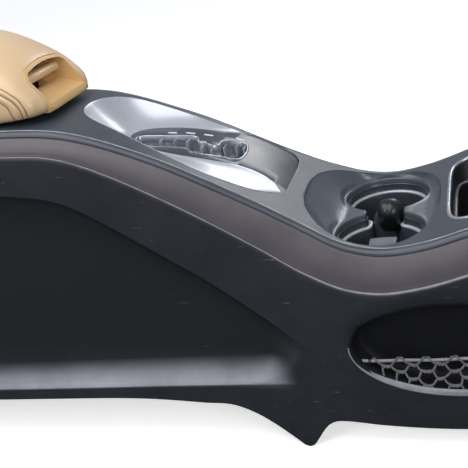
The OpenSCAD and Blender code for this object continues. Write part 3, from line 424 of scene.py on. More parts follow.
def looped(name, rings, caps=True):
    """A skin over closed rings of points, with its ends filled unless they meet."""
    n = len(rings[0])
    ob = laid_grid(name, range(len(rings)), range(n + 1), lambda i, j: rings[i][j % n])
    return edited(ob, merge, cap, turn_out) if caps else edited(ob, merge, turn_out)


def moved_out(ring, o):
    """An anticlockwise outline moved outwards by o."""
    n = len(ring)
    shifted = []
    for i, (x, y) in enumerate(ring):
        dx = ring[(i + 1) % n][0] - ring[i - 1][0]
        dy = ring[(i + 1) % n][1] - ring[i - 1][1]
        size = math.hypot(dx, dy)
        shifted.append((x + o * dy / size, y - o * dx / size))
    return shifted


def collar(name, ring, section, ground):
    """A closed band along an outline: its section lists outsets and heights above ground."""
    rows = [[(x, y, ground(x, y) + dz) for x, y in moved_out(ring, o)] for o, dz in section]
    return looped(name, rows + rows[:1], caps=False)


def bead(name, path, radius, sides=8, up=(0, 0, 1), closed=False):
    """A round bead along a path. The radius may be one value or one for each point."""
    pts = [Vector(p) for p in path]
    rings = []
    for i, p in enumerate(pts):
        a = pts[i - 1] if i or closed else p
        b = pts[(i + 1) % len(pts)] if i < len(pts) - 1 or closed else p
        side = (b - a).cross(Vector(up)).normalized()
        over = side.cross((b - a).normalized())
        r = radius[i] if isinstance(radius, list) else radius
        rings.append([tuple(p + r * (side * math.cos(t) + over * math.sin(t)))
                      for t in (math.tau * k / sides for k in range(sides))])
    return looped(name, rings + rings[:1] if closed else rings, caps=not closed)


def prism(name, outline, low, high, axis="z"):
    """A filled ring primitive bent to an outline and pushed along an axis."""
    bpy.ops.object.select_all(action="DESELECT")
    bpy.ops.mesh.primitive_circle_add(vertices=len(outline), fill_type="NGON")
    ob = named(name)
    for vert, (a, b) in zip(ob.data.vertices, outline):
        vert.co = at(*{"z": (a, b, low), "y": (a, low, b), "x": (low, a, b)}[axis])
    bpy.ops.object.mode_set(mode="EDIT")
    bpy.ops.mesh.select_all(action="SELECT")
    push = [(high - low) * MM if axis == name_ else 0.0 for name_ in "xyz"]
    bpy.ops.mesh.extrude_region_move(TRANSFORM_OT_translate={"value": push})
    bpy.ops.mesh.select_all(action="SELECT")
    turn_out()
    bpy.ops.object.mode_set(mode="OBJECT")
    return ob


def rounded(points, r, n=5):
    """A closed outline with its corners rounded."""
    outline = []
    for i, b in enumerate(points):
        a, c = Vector(points[i - 1]), Vector(points[(i + 1) % len(points)])
        b = Vector(b)
        d = min(r, 0.45 * (a - b).length, 0.45 * (c - b).length)
        p, q = b + (a - b).normalized() * d, b + (c - b).normalized() * d
        for t in steps(0, 1, n):
            outline.append(tuple(p * (1 - t) ** 2 + b * 2 * t * (1 - t) + q * t * t))
    return outline


def along_path(points, n):
    """Evenly spaced places on a smooth path through the points."""
    fine = []
    for i in range(len(points) - 1):
        p = [Vector(points[k]) for k in (max(i - 1, 0), i, i + 1, min(i + 2, len(points) - 1))]
        for t in steps(0, 1, 12)[:-1]:
            fine.append(0.5 * (2 * p[1] + (p[2] - p[0]) * t
                               + (2 * p[0] - 5 * p[1] + 4 * p[2] - p[3]) * t * t
                               + (3 * p[1] - p[0] - 3 * p[2] + p[3]) * t ** 3))
    fine.append(Vector(points[-1]))
    lengths = [0.0]
    for a, b in zip(fine, fine[1:]):
        lengths.append(lengths[-1] + (b - a).length)
    spots, k = [], 0
    for want in steps(0, lengths[-1], n):
        while k < len(fine) - 2 and lengths[k + 1] < want:
            k += 1
        t = (want - lengths[k]) / (lengths[k + 1] - lengths[k])
        spots.append(tuple(fine[k].lerp(fine[k + 1], clamp(t))))
    return spots


# %% [markdown]
# A finished piece is smoothed by angle and hung on the body that carries it. Which of the
# record's finishes it wears is noted, and the solids of the imported model that it stands for are
# hidden.

# %% Finishing a piece
WEARS = {}


def finish(ob, body, slot, *nodes, angle=40.0, wears=None):
    alone(ob)
    bpy.ops.object.shade_smooth_by_angle(angle=math.radians(angle))
    ob.select_set(False)
    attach(ob, body)
    if nodes:
        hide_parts(*nodes)
    WEARS[ob.name] = wears or slot
    print(ob.name, "has", len(ob.data.polygons), "faces")
    return ob


# %% [markdown]
# The deck is one injection moulding with a rounded edge on both sides. A boolean cut
# makes its openings, as the tool's inserts leave them in the real moulding. The
# shifter's opening is narrow at the rear, widest at the two horns of the silver trim,
# and bowed at the front.

# %% Outlines of the shifter trim
TRIM_FRONT, HORN_NEAR, HORN_FAR = -84.5, -86.5, -134.0
TRIM_NEAR = [[-98, -23], [HORN_NEAR, -38.6], [TRIM_FRONT, -48]]
TRIM_FAR = [[HORN_FAR, -4], [-121, -3], [-108.7, -3], [-98, -6], [-91, -11], [-87.5, -17],
            [-85.5, -25], [TRIM_FRONT, -38]]
TRIM_PATH = [(HORN_NEAR, -34.2), (-98, -44.5), (-114.6, -53), (-143.6, -58.6), (-169.5, -57.6),
             (-196, -51.6), (-221, -43.4), (-240, -37), (-256.4, -30), (-268.7, -21.5),
             (-276.5, -10), (-280, 4), (-280, 20), (-275, 37), (-265, 50), (-250.7, 57),
             (-232, 58.8), (-209.6, 59), (-184, 59.2), (-160, 61.2), (HORN_FAR, 65.4)]
GATE_PATH = [(HORN_NEAR - 0.4, -32.9), (-93, -24), (-98, -18.5), (-110, -15.5), (-126, -18.5),
             (-141, -24.5), (-157, -30), (-175, -34), (-193, -33.2), (-210, -27), (-226, -15),
             (-236, -4.5), (-241.5, 6), (-242, 15), (-237, 24.5), (-226, 30.5), (-213, 34.5),
             (-190, 40), (-162, 47), (-146, 55), (HORN_FAR, 62.5)]


def trim_near(x):
    return -edge(x) - curve(TRIM_NEAR, x)


def trim_far(x):
    return edge(x) + curve(TRIM_FAR, x)


def ahead_of(tip, front, n=18):
    """Places from a horn's tip forward, crowded towards the front."""
    return [mix(tip, front, math.sin(math.pi / 2 * i / n)) for i in range(1, n + 1)]


def ringed(horseshoe, o):
    """An anticlockwise outline: the horseshoe and the bowed front, drawn in by o."""
    front = TRIM_FRONT - o
    return (horseshoe[::-1]
            + [(x, trim_near(x + o) + o) for x in ahead_of(HORN_NEAR, front)]
            + [(x, trim_far(x + o) - o) for x in reversed(ahead_of(HORN_FAR, front))])


trim_rim, gate_rim = along_path(TRIM_PATH, 110), along_path(GATE_PATH, 110)
trim_outline, gate_outline = ringed(trim_rim, 0.0), ringed(gate_rim, SEAM)
print("shifter opening has", len(trim_outline), "points")


# %% Outlines of the cups and the bin
def power(v, e):
    return math.copysign(abs(v) ** e, v)


def oval(t, cx, a0, a1, b, n):
    """A point on an oval with squared shoulders, longer on one side."""
    c, s = math.cos(t), math.sin(t)
    return (cx + (a0 if c < 0 else a1) * power(c, 2 / n), b * power(s, 2 / n))


DISH = 4.5
CUP_DECK = CUP_H - DISH
CUP_R, PITCH, CUP_D, RING_D, RING_W = 41.0, 84.0, 66.0, 13.0, 4.5
RIM_OVAL = (4, 74, 50, CUPS - 4.5, 2.5)
FLAT_OVAL = (2, 40, 41, PITCH / 2 + CUP_R - 1, 4)
FBIN_X, FBIN_L, FBIN_W, FBIN_FLOOR = 61.0, 136.0, 150.0, 140.0
TURN = [math.tau * i / 128 for i in range(128)]


def bin_rim(t, o=0.0):
    return oval(t, FBIN_X + FBIN_L / 2, FBIN_L / 2 + o, FBIN_L / 2 + o, FBIN_W / 2 + o, 6)


# %% Deck
def deck_section(x, v):
    """v runs from -2 to 2: within 1 it is the deck, past 1 the rounded edge."""
    if abs(v) <= 1:
        return (x, v * edge(x), deck_at(x, v * edge(x)))
    a = (abs(v) - 1) * math.pi / 2
    return (x, math.copysign(edge(x) + ROLL_OUT * math.sin(a), v),
            deck(x) - ROLL_DROP * (1 - math.cos(a)))


along = steps(REAR, FRONT, 260)
across = steps(-2, -1, 9)[:-1] + steps(-1, 1, 30) + steps(1, 2, 9)[1:]
deck_skin = thicken(laid_grid("deck_skin", along, across, deck_section, out=(0, 0, 1)), WALL)
store = [(-580.9, -54.9), (-359.1, -54.9), (-359.1, -20), (-322, -20), (-322, 20),
         (-359.1, 20), (-359.1, 54.9), (-580.9, 54.9)]
cut(deck_skin, prism("cutter", trim_outline, 150, 400),
    prism("cutter", [oval(t, *RIM_OVAL) for t in TURN], 150, 400),
    prism("cutter", [bin_rim(t) for t in TURN], 150, 400),
    prism("cutter", store, 250, 400))
round_edges(deck_skin, 0.35, angle=60)
finish(deck_skin, "console", "deck_plastic", "top_panel")

# A fine crest runs along the deck's crease on both sides; its lighter grey is a painted highlight.
for side, name in ((-1, "deck_crest_near"), (1, "deck_crest_far")):
    path = [(x, side * (edge(x) + 0.6), deck(x) - 0.25) for x in along]
    finish(bead(name, path, 0.85), "console", "deck_plastic", angle=80, wears="crest_gloss")

# %% [markdown]
# The side panels are big polypropylene mouldings. Their rows crowd at the scoop's ridge
# and at its ledge, so these stay crisp. The lower hem runs level at the rear, dips to
# the round fixing tab and rises again. The near panel has the net pocket's mouth: its
# upper edge rolls inwards softly, and its lower edge meets the pocket's bright lip.

# %% Side panels
POCKET_X, POCKET_A, POCKET_H, POCKET_UP, POCKET_DN = 66.0, 98.0, 110.0, 40.0, 48.5
ROLL_IN, ROLL_WIDE = 9.0, 17.0


def mouth(t, o=0.0):
    """The pocket's mouth: a half ellipse below its widest line and a flatter one above."""
    up = POCKET_UP if math.sin(t) > 0 else POCKET_DN
    return (POCKET_X + (POCKET_A + o) * math.cos(t), POCKET_H + (up + o) * math.sin(t))


def mouth_gap(x, z):
    """Distance from the mouth's edge, about right near the edge."""
    b = POCKET_UP if z > POCKET_H else POCKET_DN
    dx, dz = x - POCKET_X, z - POCKET_H
    r = math.hypot(dx / POCKET_A, dz / b)
    grade = math.hypot(dx / POCKET_A ** 2, dz / b ** 2) / max(r, 0.01)
    return (r - 1) / max(grade, 1e-4)


def rolled_y(x, z):
    """The near panel, rolled inwards above the pocket."""
    y = side_y(x, z)
    gap = mouth_gap(x, z)
    if gap < ROLL_WIDE:
        side = smooth((z - POCKET_H + 12) / 24) * smooth((x + 40) / 16)
        y -= ROLL_IN * side * (1 - math.sqrt(1 - (1 - clamp(gap / ROLL_WIDE)) ** 2 * 0.98))
    return y


def side_rows(x):
    top, low, wide = scoop_top(x), scoop_led(x), scoop_wide(x)
    return (steps(lip_z(x) - 2.4, top, 20) + [top - wide * k for k in (0.07, 0.18, 0.35, 0.6, 1)]
            + steps(top - wide, LIP_H + low, 8)[1:]
            + [LIP_H + low * k for k in (0.82, 0.62, 0.42, 0.25, 0.1, 0)]
            + steps(LIP_H - 1.2, hem_z(x), 10))


def side_point(x, row, far, skin_y):
    y, z = lip_y(x), lip_z(x)
    rim = [(y - 3, z - 0.9), (y - 0.6, z - 0.3), (y + 0.9, z - 0.3), (y + 1.7, z - 0.9)]
    if row < len(rim):
        y, z = rim[row]
    else:
        z = side_rows(x)[row - len(rim)]
        y = skin_y(x, z)
    return (x, y if far else -y, z)


side_xs = sorted(steps(REAR, FRONT, 236) + [TAB_X + d for d in (-5, -4, -3, -2.2, -1.4, -0.7, 0.1,
                                                                0.8, 1.5, 2.3, 3, 4, 5)])
row_count = len(side_rows(0)) + 4
for name, far, skin_y, node in (("side_skin_near", False, rolled_y, "side_panel_right"),
                                ("side_skin_far", True, side_y, "side_panel_left")):
    skin = laid_grid(name, side_xs, range(row_count),
                     lambda x, row: side_point(x, row, far, skin_y), out=(0, 1 if far else -1, 0))
    thicken(skin, WALL)
    if not far:
        cut(skin, prism("cutter", [mouth(t, 0.4) for t in TURN], -200, -60, axis="y"))
    round_edges(skin, 0.4, angle=62)
    # Painted shade in the scoop, and pale dust with a painted highlight on its ledge, kept as an
    # attribute.
    light_marks = skin.data.color_attributes.new("handled", "FLOAT_COLOR", "POINT")
    for vert, value in zip(skin.data.vertices, light_marks.data):
        x, z = vert.co.x / MM - CUP_X, vert.co.z / MM
        inside = scoop_fade(x, z) * clamp((scoop_top(x) - z) / 9) * clamp((z - LIP_H + 4) / 4)
        ledge_dust_and_highlight = smooth((-x - 84) / 26) * clamp((z - LIP_H + 1.5) / 2) * (
            1 - clamp((z - LIP_H) / 25)) ** 1.15
        value.color = (inside, ledge_dust_and_highlight, 0.0, 1.0)
    finish(skin, "console", "side_plastic", node)

# %% [markdown]
# Between the deck and each side panel lies a padded strip: soft vinyl on thin foam. It
# swells a little, so light slides over it from a bright shoulder to a shaded belly. A
# narrow edge, the panel's own lip, runs all along its lower side, painted pale as a highlight.

# %% Padded strips and bright edges
def strip_point(x, t, side):
    y = (mix(edge(x) + ROLL_OUT + 0.2, lip_y(x), t) + 1.6 * math.sin(math.pi * t)
         + 0.9 * math.sin(math.pi * clamp(t * 1.15)) ** 0.5 - 0.5)
    return (x, side * y, mix(deck(x) - ROLL_DROP - SEAM, lip_z(x) + SEAM, t))


for side, name, node in ((-1, "soft_strip_near", "trim_strip_right"),
                         (1, "soft_strip_far", "trim_strip_left")):
    strip = laid_grid(name, along, [0, 0.03, 0.08, 0.15] + steps(0.22, 0.78, 10)
                      + [0.86, 0.93, 0.97, 1], lambda x, t: strip_point(x, t, side),
                      out=(0, side, 0))
    finish(thicken(strip, 2.6), "console", "soft_trim", node)
    # The panel's lip is painted pale as a highlight.
    path = [(x, side * (lip_y(x) + 0.9), lip_z(x) - 0.25) for x in along]
    radius = [mix(0.75, 1.35, smooth((x + 120) / 160)) for x in along]
    lip = bead("strip_lip_near" if side < 0 else "strip_lip_far", path, radius)
    finish(lip, "console", "side_plastic", angle=80, wears="worn_lip")

# %% [markdown]
# The silver trim is a horseshoe bowl round the shifter. It starts at the near horn,
# passes behind the lever and ends at the far horn, and each section falls from the deck
# to the curved gate plate, steep at the rim and flat at the plate.

# %% Silver trim
GATE_R = 270.0
PIVOT_X = -141 - GATE_R * math.sin(math.radians(26))
PIVOT_Z = deck(-141) + 1.5 - GATE_R * math.cos(math.radians(26))


def gate_z(x):
    return PIVOT_Z + math.sqrt(GATE_R ** 2 - (x - PIVOT_X) ** 2)


def bowl_point(i, t):
    """i counts along the horseshoe from the near horn's tip, t runs down the section."""
    rim, low = trim_rim[i], gate_rim[i]
    ahead, behind = trim_rim[min(i + 1, 110)], trim_rim[max(i - 1, 0)]
    size = math.hypot(ahead[0] - behind[0], ahead[1] - behind[1])
    in_x, in_y = (ahead[1] - behind[1]) / size * SEAM, -(ahead[0] - behind[0]) / size * SEAM
    rim = (rim[0] + in_x, rim[1] + in_y)
    low = (low[0] - in_x, low[1] - in_y)
    return (mix(rim[0], low[0], t), mix(rim[1], low[1], t),
            mix(deck_at(*rim), gate_z(low[0]), 1 - (1 - t) ** 1.7))


bowl = laid_grid("silver_bowl", range(111), [0, 0.03, 0.08, 0.14, 0.22, 0.3, 0.4, 0.5, 0.6, 0.7,
                                             0.8, 0.88, 0.95, 1], bowl_point, out=(0, 0, 1))
round_edges(thicken(bowl, 2.2), 0.4, angle=60)
finish(bowl, "console", "silver_paint", "shifter_bezel", angle=50)

# %% [markdown]
# The gate plate is a piece of a cylinder about the lever's pivot, so the lever's rod
# sweeps it with an even gap. Its slot steps from side to side, one step for each
# position. A bright lip lines the slot, and below it lie the guide's walls, its floor
# with a narrower slot, and the ribs that stop the rod. The four marks stay plain bars.

# %% Gate plate and slot
SLOT = [(-232.5, -2), (-228, -10.5), (-217, -20), (-208, -22.5), (-192, -18.5), (-177, -14.5),
        (-171.5, -21.5), (-165, -21.5), (-154, -17.5), (-146, -13.5), (-137, -11.5), (-131, -7),
        (-129, 3), (-129, 20), (-131.5, 32), (-137, 36), (-147, 29.5), (-153, 21), (-152, 10),
        (-156, 6), (-162, 5), (-166, 9.5), (-173, 6.5), (-176, 17.5), (-181, 17.8), (-193, 13.8),
        (-208, 7.8), (-226, 5.4), (-232.3, 3.5)]
slot_outline = rounded(SLOT, 2.6)


def on_gate(x, y):
    return gate_z(x)


plate = thicken(laid_grid("gate_plate_skin", steps(-245, -80, 66), steps(-76, 76, 8),
                          lambda x, y: (x, y, gate_z(x)), out=(0, 0, 1)), 2.4)
cut(plate, prism("cutter", moved_out(gate_outline, -0.01), 150, 400), how="INTERSECT")
cut(plate, prism("cutter", moved_out(slot_outline, 0.4), 150, 400))
round_edges(plate, 0.5, angle=60)
finish(plate, "console", "dark_satin", "gate_plate", angle=35)

liner = collar("slot_lip", slot_outline, [(0, -6), (0, 0.2), (0.35, 0.75), (0.9, 0.95),
                                          (1.5, 0.7), (1.75, 0.05), (1.6, -0.6), (1.5, -6)],
               on_gate)
finish(liner, "console", "bright_rim", "gate_liner")
guide = collar("slot_walls", slot_outline, [(0.4, -6.3), (0.4, -21), (2.4, -21), (2.4, -6.3)],
               on_gate)
finish(guide, "console", "black_plastic", "gate_guide", wears="guide_plastic")
tray = collar("slot_floor", slot_outline, [(0.3, -15), (-3.4, -15), (-4, -15.6), (-4, -17),
                                           (0.3, -17)], on_gate)
finish(tray, "console", "black_plastic", wears="guide_plastic")
RIBS = [(-209, 7, -9), (-196, 12, -10), (-184, 16.5, -12), (-168, 8, -9), (-158, 5, -8),
        (-150, 24, -12), (-141, 33, -10), (-134, 34, -8), (-214, -19, 8), (-150, -15, 9)]
for i, (x, y, reach) in enumerate(RIBS):
    rib = prism("slot_rib_%d" % i, [(x - 0.9, y), (x + 0.9, y), (x + 0.9, y + reach),
                                    (x - 0.9, y + reach)][::1 if reach > 0 else -1],
                gate_z(x) - 15.2, gate_z(x) - 2.2)
    round_edges(rib, 0.35, angle=50)
    finish(rib, "console", "black_plastic", wears="guide_plastic")

MARKS = [(-202, 19.8), (-185, 25.4), (-168, 29.4), (-139.5, 41)]
for i, (x, y) in enumerate(MARKS):
    turned = [(x + a * 0.978 - b * 0.208, y + a * 0.208 + b * 0.978)
              for a, b in rounded([(-4.5, -1.3), (4.5, -1.3), (4.5, 1.3), (-4.5, 1.3)], 1.2)]
    mark = prism("mark_%d" % (i + 1), turned, gate_z(x) - 1.2, gate_z(x) + 3)
    shell = thicken(laid_grid("cutter", steps(x - 8, x + 8, 10), steps(y - 8, y + 8, 4),
                              lambda a, b: (a, b, gate_z(a) + 0.4), out=(0, 0, 1)), 0.36)
    cut(mark, shell, how="INTERSECT")
    finish(mark, "console", "white_print", *(["position_marks"] if i == 0 else []))

# %% [markdown]
# The cup insert is one dished moulding. Both wells and the passage between them share
# one outline, a figure of eight with two round-nosed webs, and every level of the
# insert is that outline moved in or out: the rounded lip, the wall with its small step,
# the ledge that a cup's foot lands on, and the lower wall.

# %% Cup insert
PASS_C, PASS_W, TIP_R = 1.0, 36.0, 3.0
MID_Y = PITCH / 2


def arc(cx, cy, r, a0, a1, n):
    return [(cx + r * math.cos(a), cy + r * math.sin(a)) for a in steps(a0, a1, n)]


def wells(o):
    """Outline of both wells and the passage, drawn in by o millimetres."""
    r, half, tip = CUP_R - o, PASS_W / 2 - o, TIP_R + o
    xr, xl = PASS_C + half + tip, PASS_C - half - tip
    yr = -MID_Y + math.sqrt((r + tip) ** 2 - xr ** 2)
    yl = -MID_Y + math.sqrt((r + tip) ** 2 - xl ** 2)
    near = [(PASS_C + half, 0), (PASS_C + half, yr / 2)]
    near += arc(xr, yr, tip, math.pi, math.atan2(-MID_Y - yr, -xr) + math.tau, 6)
    a0, a1 = math.atan2(yr + MID_Y, xr), math.atan2(yl + MID_Y, xl) - math.tau
    near += arc(0, -MID_Y, r, a0, a1, 72)[1:-1]
    near += arc(xl, yl, tip, math.atan2(-MID_Y - yl, -xl), 0, 6)
    near += [(PASS_C - half, yl / 2), (PASS_C - half, 0)]
    ring = near + [(x, -y) for x, y in reversed(near[1:-1])]
    return ring[::-1]


def leave(x, y, cx, a0, a1, b, n):
    """Distance from the passage's middle, through x, y, to an oval's edge."""
    size = math.hypot(x - PASS_C, y)
    dx, dy = (x - PASS_C) / size, y / size
    low, high = 1.0, 150.0
    for _ in range(36):
        s = (low + high) / 2
        px = PASS_C + dx * s - cx
        inside = abs(px / (a0 if px < 0 else a1)) ** n + abs(dy * s / b) ** n < 1
        low, high = (s, high) if inside else (low, s)
    return low, (PASS_C + dx * (low - 0.15), dy * (low - 0.15))


DISH_CURVE = [[0, 0], [0.06, 0.03], [0.3, 0.19], [0.62, 0.48], [1, 1]]


def dish_z(x, y):
    """Height of the dish: level round the wells, and up to the deck at its rim."""
    size = math.hypot(x - PASS_C, y)
    rim, spot = leave(x, y, *RIM_OVAL)
    flat = leave(x, y, *FLAT_OVAL)[0]
    u = clamp((size - flat) / (rim - flat))
    ridge = 0.8 * math.exp(-((size - flat) / 1.1) ** 2) * (1 if x < 0 else 0.5)
    return mix(CUP_DECK, deck(spot[0]) - 0.15, curve(DISH_CURVE, u)) + ridge


lip_outline = wells(-1.3)
rims = [leave(x, y, *RIM_OVAL)[1] for x, y in lip_outline]
rows = [[(x, y, deck(x) - drop) for x, y in rims] for drop in (3.0, 0.7)]
rows.append([(mix(x, a, 0.01), mix(y, b, 0.01), deck(x) - 0.25)
             for (x, y), (a, b) in zip(rims, lip_outline)])
for k in (0.03, 0.07, 0.13, 0.2, 0.28, 0.36, 0.45, 0.54, 0.6, 0.65, 0.7, 0.74, 0.78, 0.83, 0.89,
          0.95, 1):
    spots = [(mix(x, a, k), mix(y, b, k)) for (x, y), (a, b) in zip(rims, lip_outline)]
    level = smooth((k - 0.72) / 0.26)
    rows.append([(x, y, mix(dish_z(x, y), CUP_DECK + 0.35, level)) for x, y in spots])
lip_heights = [p[2] for p in rows[-1]]
for o, drop in ((-0.9, 0.04), (-0.45, 0.3), (-0.12, 0.8), (0, 1.5)):
    rows.append([(x, y, z - drop) for (x, y), z in zip(wells(o), lip_heights)])
LEDGE = CUP_DECK - RING_D
for o, z in ((0, CUP_DECK - 5.6), (0.3, CUP_DECK - 6), (0.75, CUP_DECK - 6.2),
             (0.9, CUP_DECK - 7), (0.9, LEDGE + 0.7), (1.2, LEDGE + 0.2), (1.8, LEDGE),
             (RING_W - 1, LEDGE), (RING_W - 0.4, LEDGE - 0.2), (RING_W, LEDGE - 0.9),
             (RING_W, LEDGE - 22), (RING_W, CUP_DECK - CUP_D + 3),
             (RING_W + 1, CUP_DECK - CUP_D + 0.6), (RING_W + 3, CUP_DECK - CUP_D)):
    rows.append([(x, y, z) for x, y in wells(o)])
insert = looped("cup_insert_skin", rows, caps=False)
# The wells lie in shade: an attribute paints that shade in, darker downwards.
light_marks = insert.data.color_attributes.new("handled", "FLOAT_COLOR", "POINT")
for vert, value in zip(insert.data.vertices, light_marks.data):
    z = vert.co.z / MM
    value.color = (clamp((CUP_DECK - 1.2 - z) / 3.5), 0.0, 0.0, 1.0)
finish(insert, "console", "dark_satin", "cup_insert", angle=50)
print("cup outline has", len(lip_outline), "points")

# The ledge rings are bands that lie on the insert's ledge, pale as a painted highlight.
band_rows = [[(x, y, z) for x, y in wells(o)] for o, z in (
    (1.3, LEDGE + 0.1), (1.5, LEDGE + 0.55), (RING_W - 0.9, LEDGE + 0.6),
    (RING_W - 0.1, LEDGE + 0.35), (RING_W + 0.25, LEDGE - 0.5), (RING_W + 0.05, LEDGE - 1.4),
    (RING_W - 0.5, LEDGE - 0.2))]
finish(looped("ledge_band", band_rows + band_rows[:1], caps=False), "console", "dark_satin",
       angle=60, wears="ledge_gloss")

# %% [markdown]
# A divider stands in the passage between the wells: a dull grey plate with a glossy
# black nose that leans over the near well. A soft finger grips a cup from the other
# side, and thin rubber mats lie on the wells' floors.

# %% Divider, finger and mats
FIN = [(-65.8, -0.7, 11.5, 5, 0), (-21, -0.7, 11.5, 5, 0), (-19, -0.7, 11.5, 5, 5.5),
       (-16, -0.6, 11.4, 5, 9.5), (-12, -0.4, 11.2, 5, 12), (-7, 0.2, 10.9, 4.8, 13),
       (-3, 1.4, 10, 4.4, 12.4), (0.5, 3.2, 8.2, 3.8, 10), (2.8, 4.6, 5.8, 3, 6.5),
       (3.8, 5.2, 3, 1.6, 3.2)]
NOSE = [[-25, 0.2, 6], [-21, 5, 9], [-16, 10, 11.2], [-10, 13, 12], [-4, 14, 12], [1, 13.4, 11.8],
        [5, 11.5, 10.8], [8, 8.4, 8.6], [9.6, 5.4, 6], [10.4, 2.4, 3]]
FIN_Y, NOSE_X = 4.0, 5.5


def fin(h, k):
    return curve([[row[0], row[k]] for row in FIN], h)


def nose_ring(h):
    """A hood with a parting groove down its middle. It closes over the plate's top."""
    reach = curve([row[:2] for row in NOSE], h)
    wide = curve([[row[0], row[2]] for row in NOSE], h)
    ring = []
    for a in steps(0, math.tau, 56)[:-1]:
        groove = 0.8 * math.exp(-(math.cos(a) * wide / 0.7) ** 2) if math.sin(a) > 0 else 0
        depth = max(0.3, reach * abs(math.sin(a)) ** 0.85 - groove)
        ring.append((NOSE_X + wide * math.cos(a),
                     FIN_Y - 1 - depth if math.sin(a) > 0 else FIN_Y - 1 + 0.62 * depth,
                     CUP_DECK + h))
    return ring


plate_rings = [[(*[a + b for a, b in zip((0, FIN_Y), oval(t, fin(h, 1), fin(h, 2), fin(h, 2),
                                                           fin(h, 3), 3.2))], CUP_DECK + h - 0.6)
                for t in TURN[::2]] for h in [-65.2, -40, -22] + steps(-20, 3.6, 26)]
fin_plate = looped("divider_plate", plate_rings)
finish(round_edges(fin_plate, 0.5, angle=50), "console", "black_plastic", "cup_divider",
       wears="dark_satin")
fin_nose = looped("divider_nose", [nose_ring(h) for h in steps(-25, 9.6, 44) + [10.1, 10.4]])
finish(round_edges(fin_nose, 0.5, angle=50), "console", "black_plastic", angle=60,
       wears="gloss_black")

TAB_BACK = -MID_Y - math.sqrt(CUP_R ** 2 - 225) + 0.3
FINGER = [(0, -12), (0, -3), (0.6, -1.4), (2, -0.7), (9, 0.2), (16, 0.6), (20.5, 0), (23, -1.8),
          (24, -5), (23.4, -9), (21, -14), (16, -19), (12, -22)]
rubber = laid_grid("grip_finger", steps(-7, 17, 12), range(len(FINGER)),
                   lambda x, j: (x, TAB_BACK + FINGER[j][0], CUP_DECK + FINGER[j][1]
                                 - 0.5 * ((x - 5) / 12) ** 2), out=(0, 0, 1))
round_edges(thicken(rubber, 2), 0.5, angle=50)
finish(rubber, "console", "grey_rubber", "cup_grip_tab", angle=60)
for side, name in ((-1, "mat_near"), (1, "mat_far")):
    disc = [(36 * math.cos(t), side * MID_Y + 36 * math.sin(t)) for t in TURN]
    mat = prism(name, disc, CUP_DECK - CUP_D + 0.2, CUP_DECK - CUP_D + 2.2)
    cut(mat, prism("cutter", [(-12.5, -9), (12.5, -9), (12.5, 10), (-12.5, 10)], 120, 140))
    round_edges(mat, 0.6)
    finish(mat, "console", "black_rubber", *(["cup_mats"] if side < 0 else []))

# %% [markdown]
# The front bin is a deep drawn tub with a ledge for a lid, and a bright ring snaps over
# its edge. Only its rear third is in the photo, and the rest follows the same outline.

# %% Front bin
BIN_LEDGE = deck(FBIN_X) - 18


def bin_row(o, z=None, under=0.0):
    spots = [bin_rim(t, o) for t in TURN]
    return [(x, y, deck(x) - under if z is None else z) for x, y in spots]


tub_rows = [bin_row(-0.9, FBIN_FLOOR - 2.5), bin_row(-0.9, under=1.6), bin_row(-3.2, under=1.6),
            bin_row(-3.4, under=2.2), bin_row(-3.4, BIN_LEDGE + 0.8), bin_row(-3.9, BIN_LEDGE),
            bin_row(-6.9, BIN_LEDGE), bin_row(-7.4, BIN_LEDGE - 0.5), bin_row(-7.5, FBIN_FLOOR + 4),
            bin_row(-8.4, FBIN_FLOOR + 1), bin_row(-11, FBIN_FLOOR)]
tub = looped("front_bin_tub", tub_rows)
finish(tub, "console", "black_plastic", "front_bin")
# The bin's step is painted pale as a highlight.
ledge_line = collar("front_bin_step", [bin_rim(t) for t in TURN],
                    [(-4, 0.1), (-4.4, 0.7), (-6, 0.8), (-6.8, 0.4), (-6.9, -0.3)],
                    lambda x, y: BIN_LEDGE)
finish(ledge_line, "console", "black_plastic", angle=60, wears="worn_lip")
ring = collar("front_bin_ring", [bin_rim(t) for t in TURN],
              [(0.9, 0.1), (0.8, 0.6), (0.3, 1), (-0.6, 1.2), (-1.5, 1.1), (-2.3, 0.6),
               (-2.7, -0.1), (-2.9, -1.2), (-0.4, -1.2), (-0.4, 0.1)], deck_at)
finish(ring, "console", "bright_rim", "front_bin_bezel", angle=60)
liner_mat = prism("front_bin_liner", [bin_rim(t, -11.5) for t in TURN], FBIN_FLOOR + 0.2,
                  FBIN_FLOOR + 2.2)
finish(round_edges(liner_mat, 0.6), "console", "black_rubber", "front_bin_mat")

# %% [markdown]
# The net pocket is a dark tub behind the panel's mouth. Its lower edge turns outwards as
# a bright crescent, widest at the bottom. The net is knotted cord, so every mesh is a
# little different: short twisted double strands join each pair of knots level, and single
# strands run between the rows. It hangs from a sagging elastic and is held at the rim.

# %% Pocket tub and lip
POCKET_Y, NET_Y = 89.5, -103.5


def mouth_row(o, d):
    row = []
    for t in TURN:
        x, z = mouth(t, o)
        row.append((x, -rolled_y(*mouth(t, max(o, 0.5))) - d, z))
    return row


def flat_row(o, y):
    return [(mouth(t, o)[0], -y, mouth(t, o)[1]) for t in TURN]


pocket_rows = [flat_row(-14, POCKET_Y), flat_row(-8, POCKET_Y), flat_row(-5.4, POCKET_Y + 2.5),
               mouth_row(-3.2, -7), mouth_row(-1.6, -0.9), mouth_row(-0.4, -0.2),
               mouth_row(0.3, -0.4), mouth_row(0.3, -WALL), mouth_row(-0.6, -WALL - 1.2),
               flat_row(-3, POCKET_Y + 1.5), flat_row(-6, POCKET_Y - 2.5)]
finish(looped("pocket_tub_skin", pocket_rows), "console", "black_plastic", "pocket_tub", angle=50,
       wears="pocket_black")


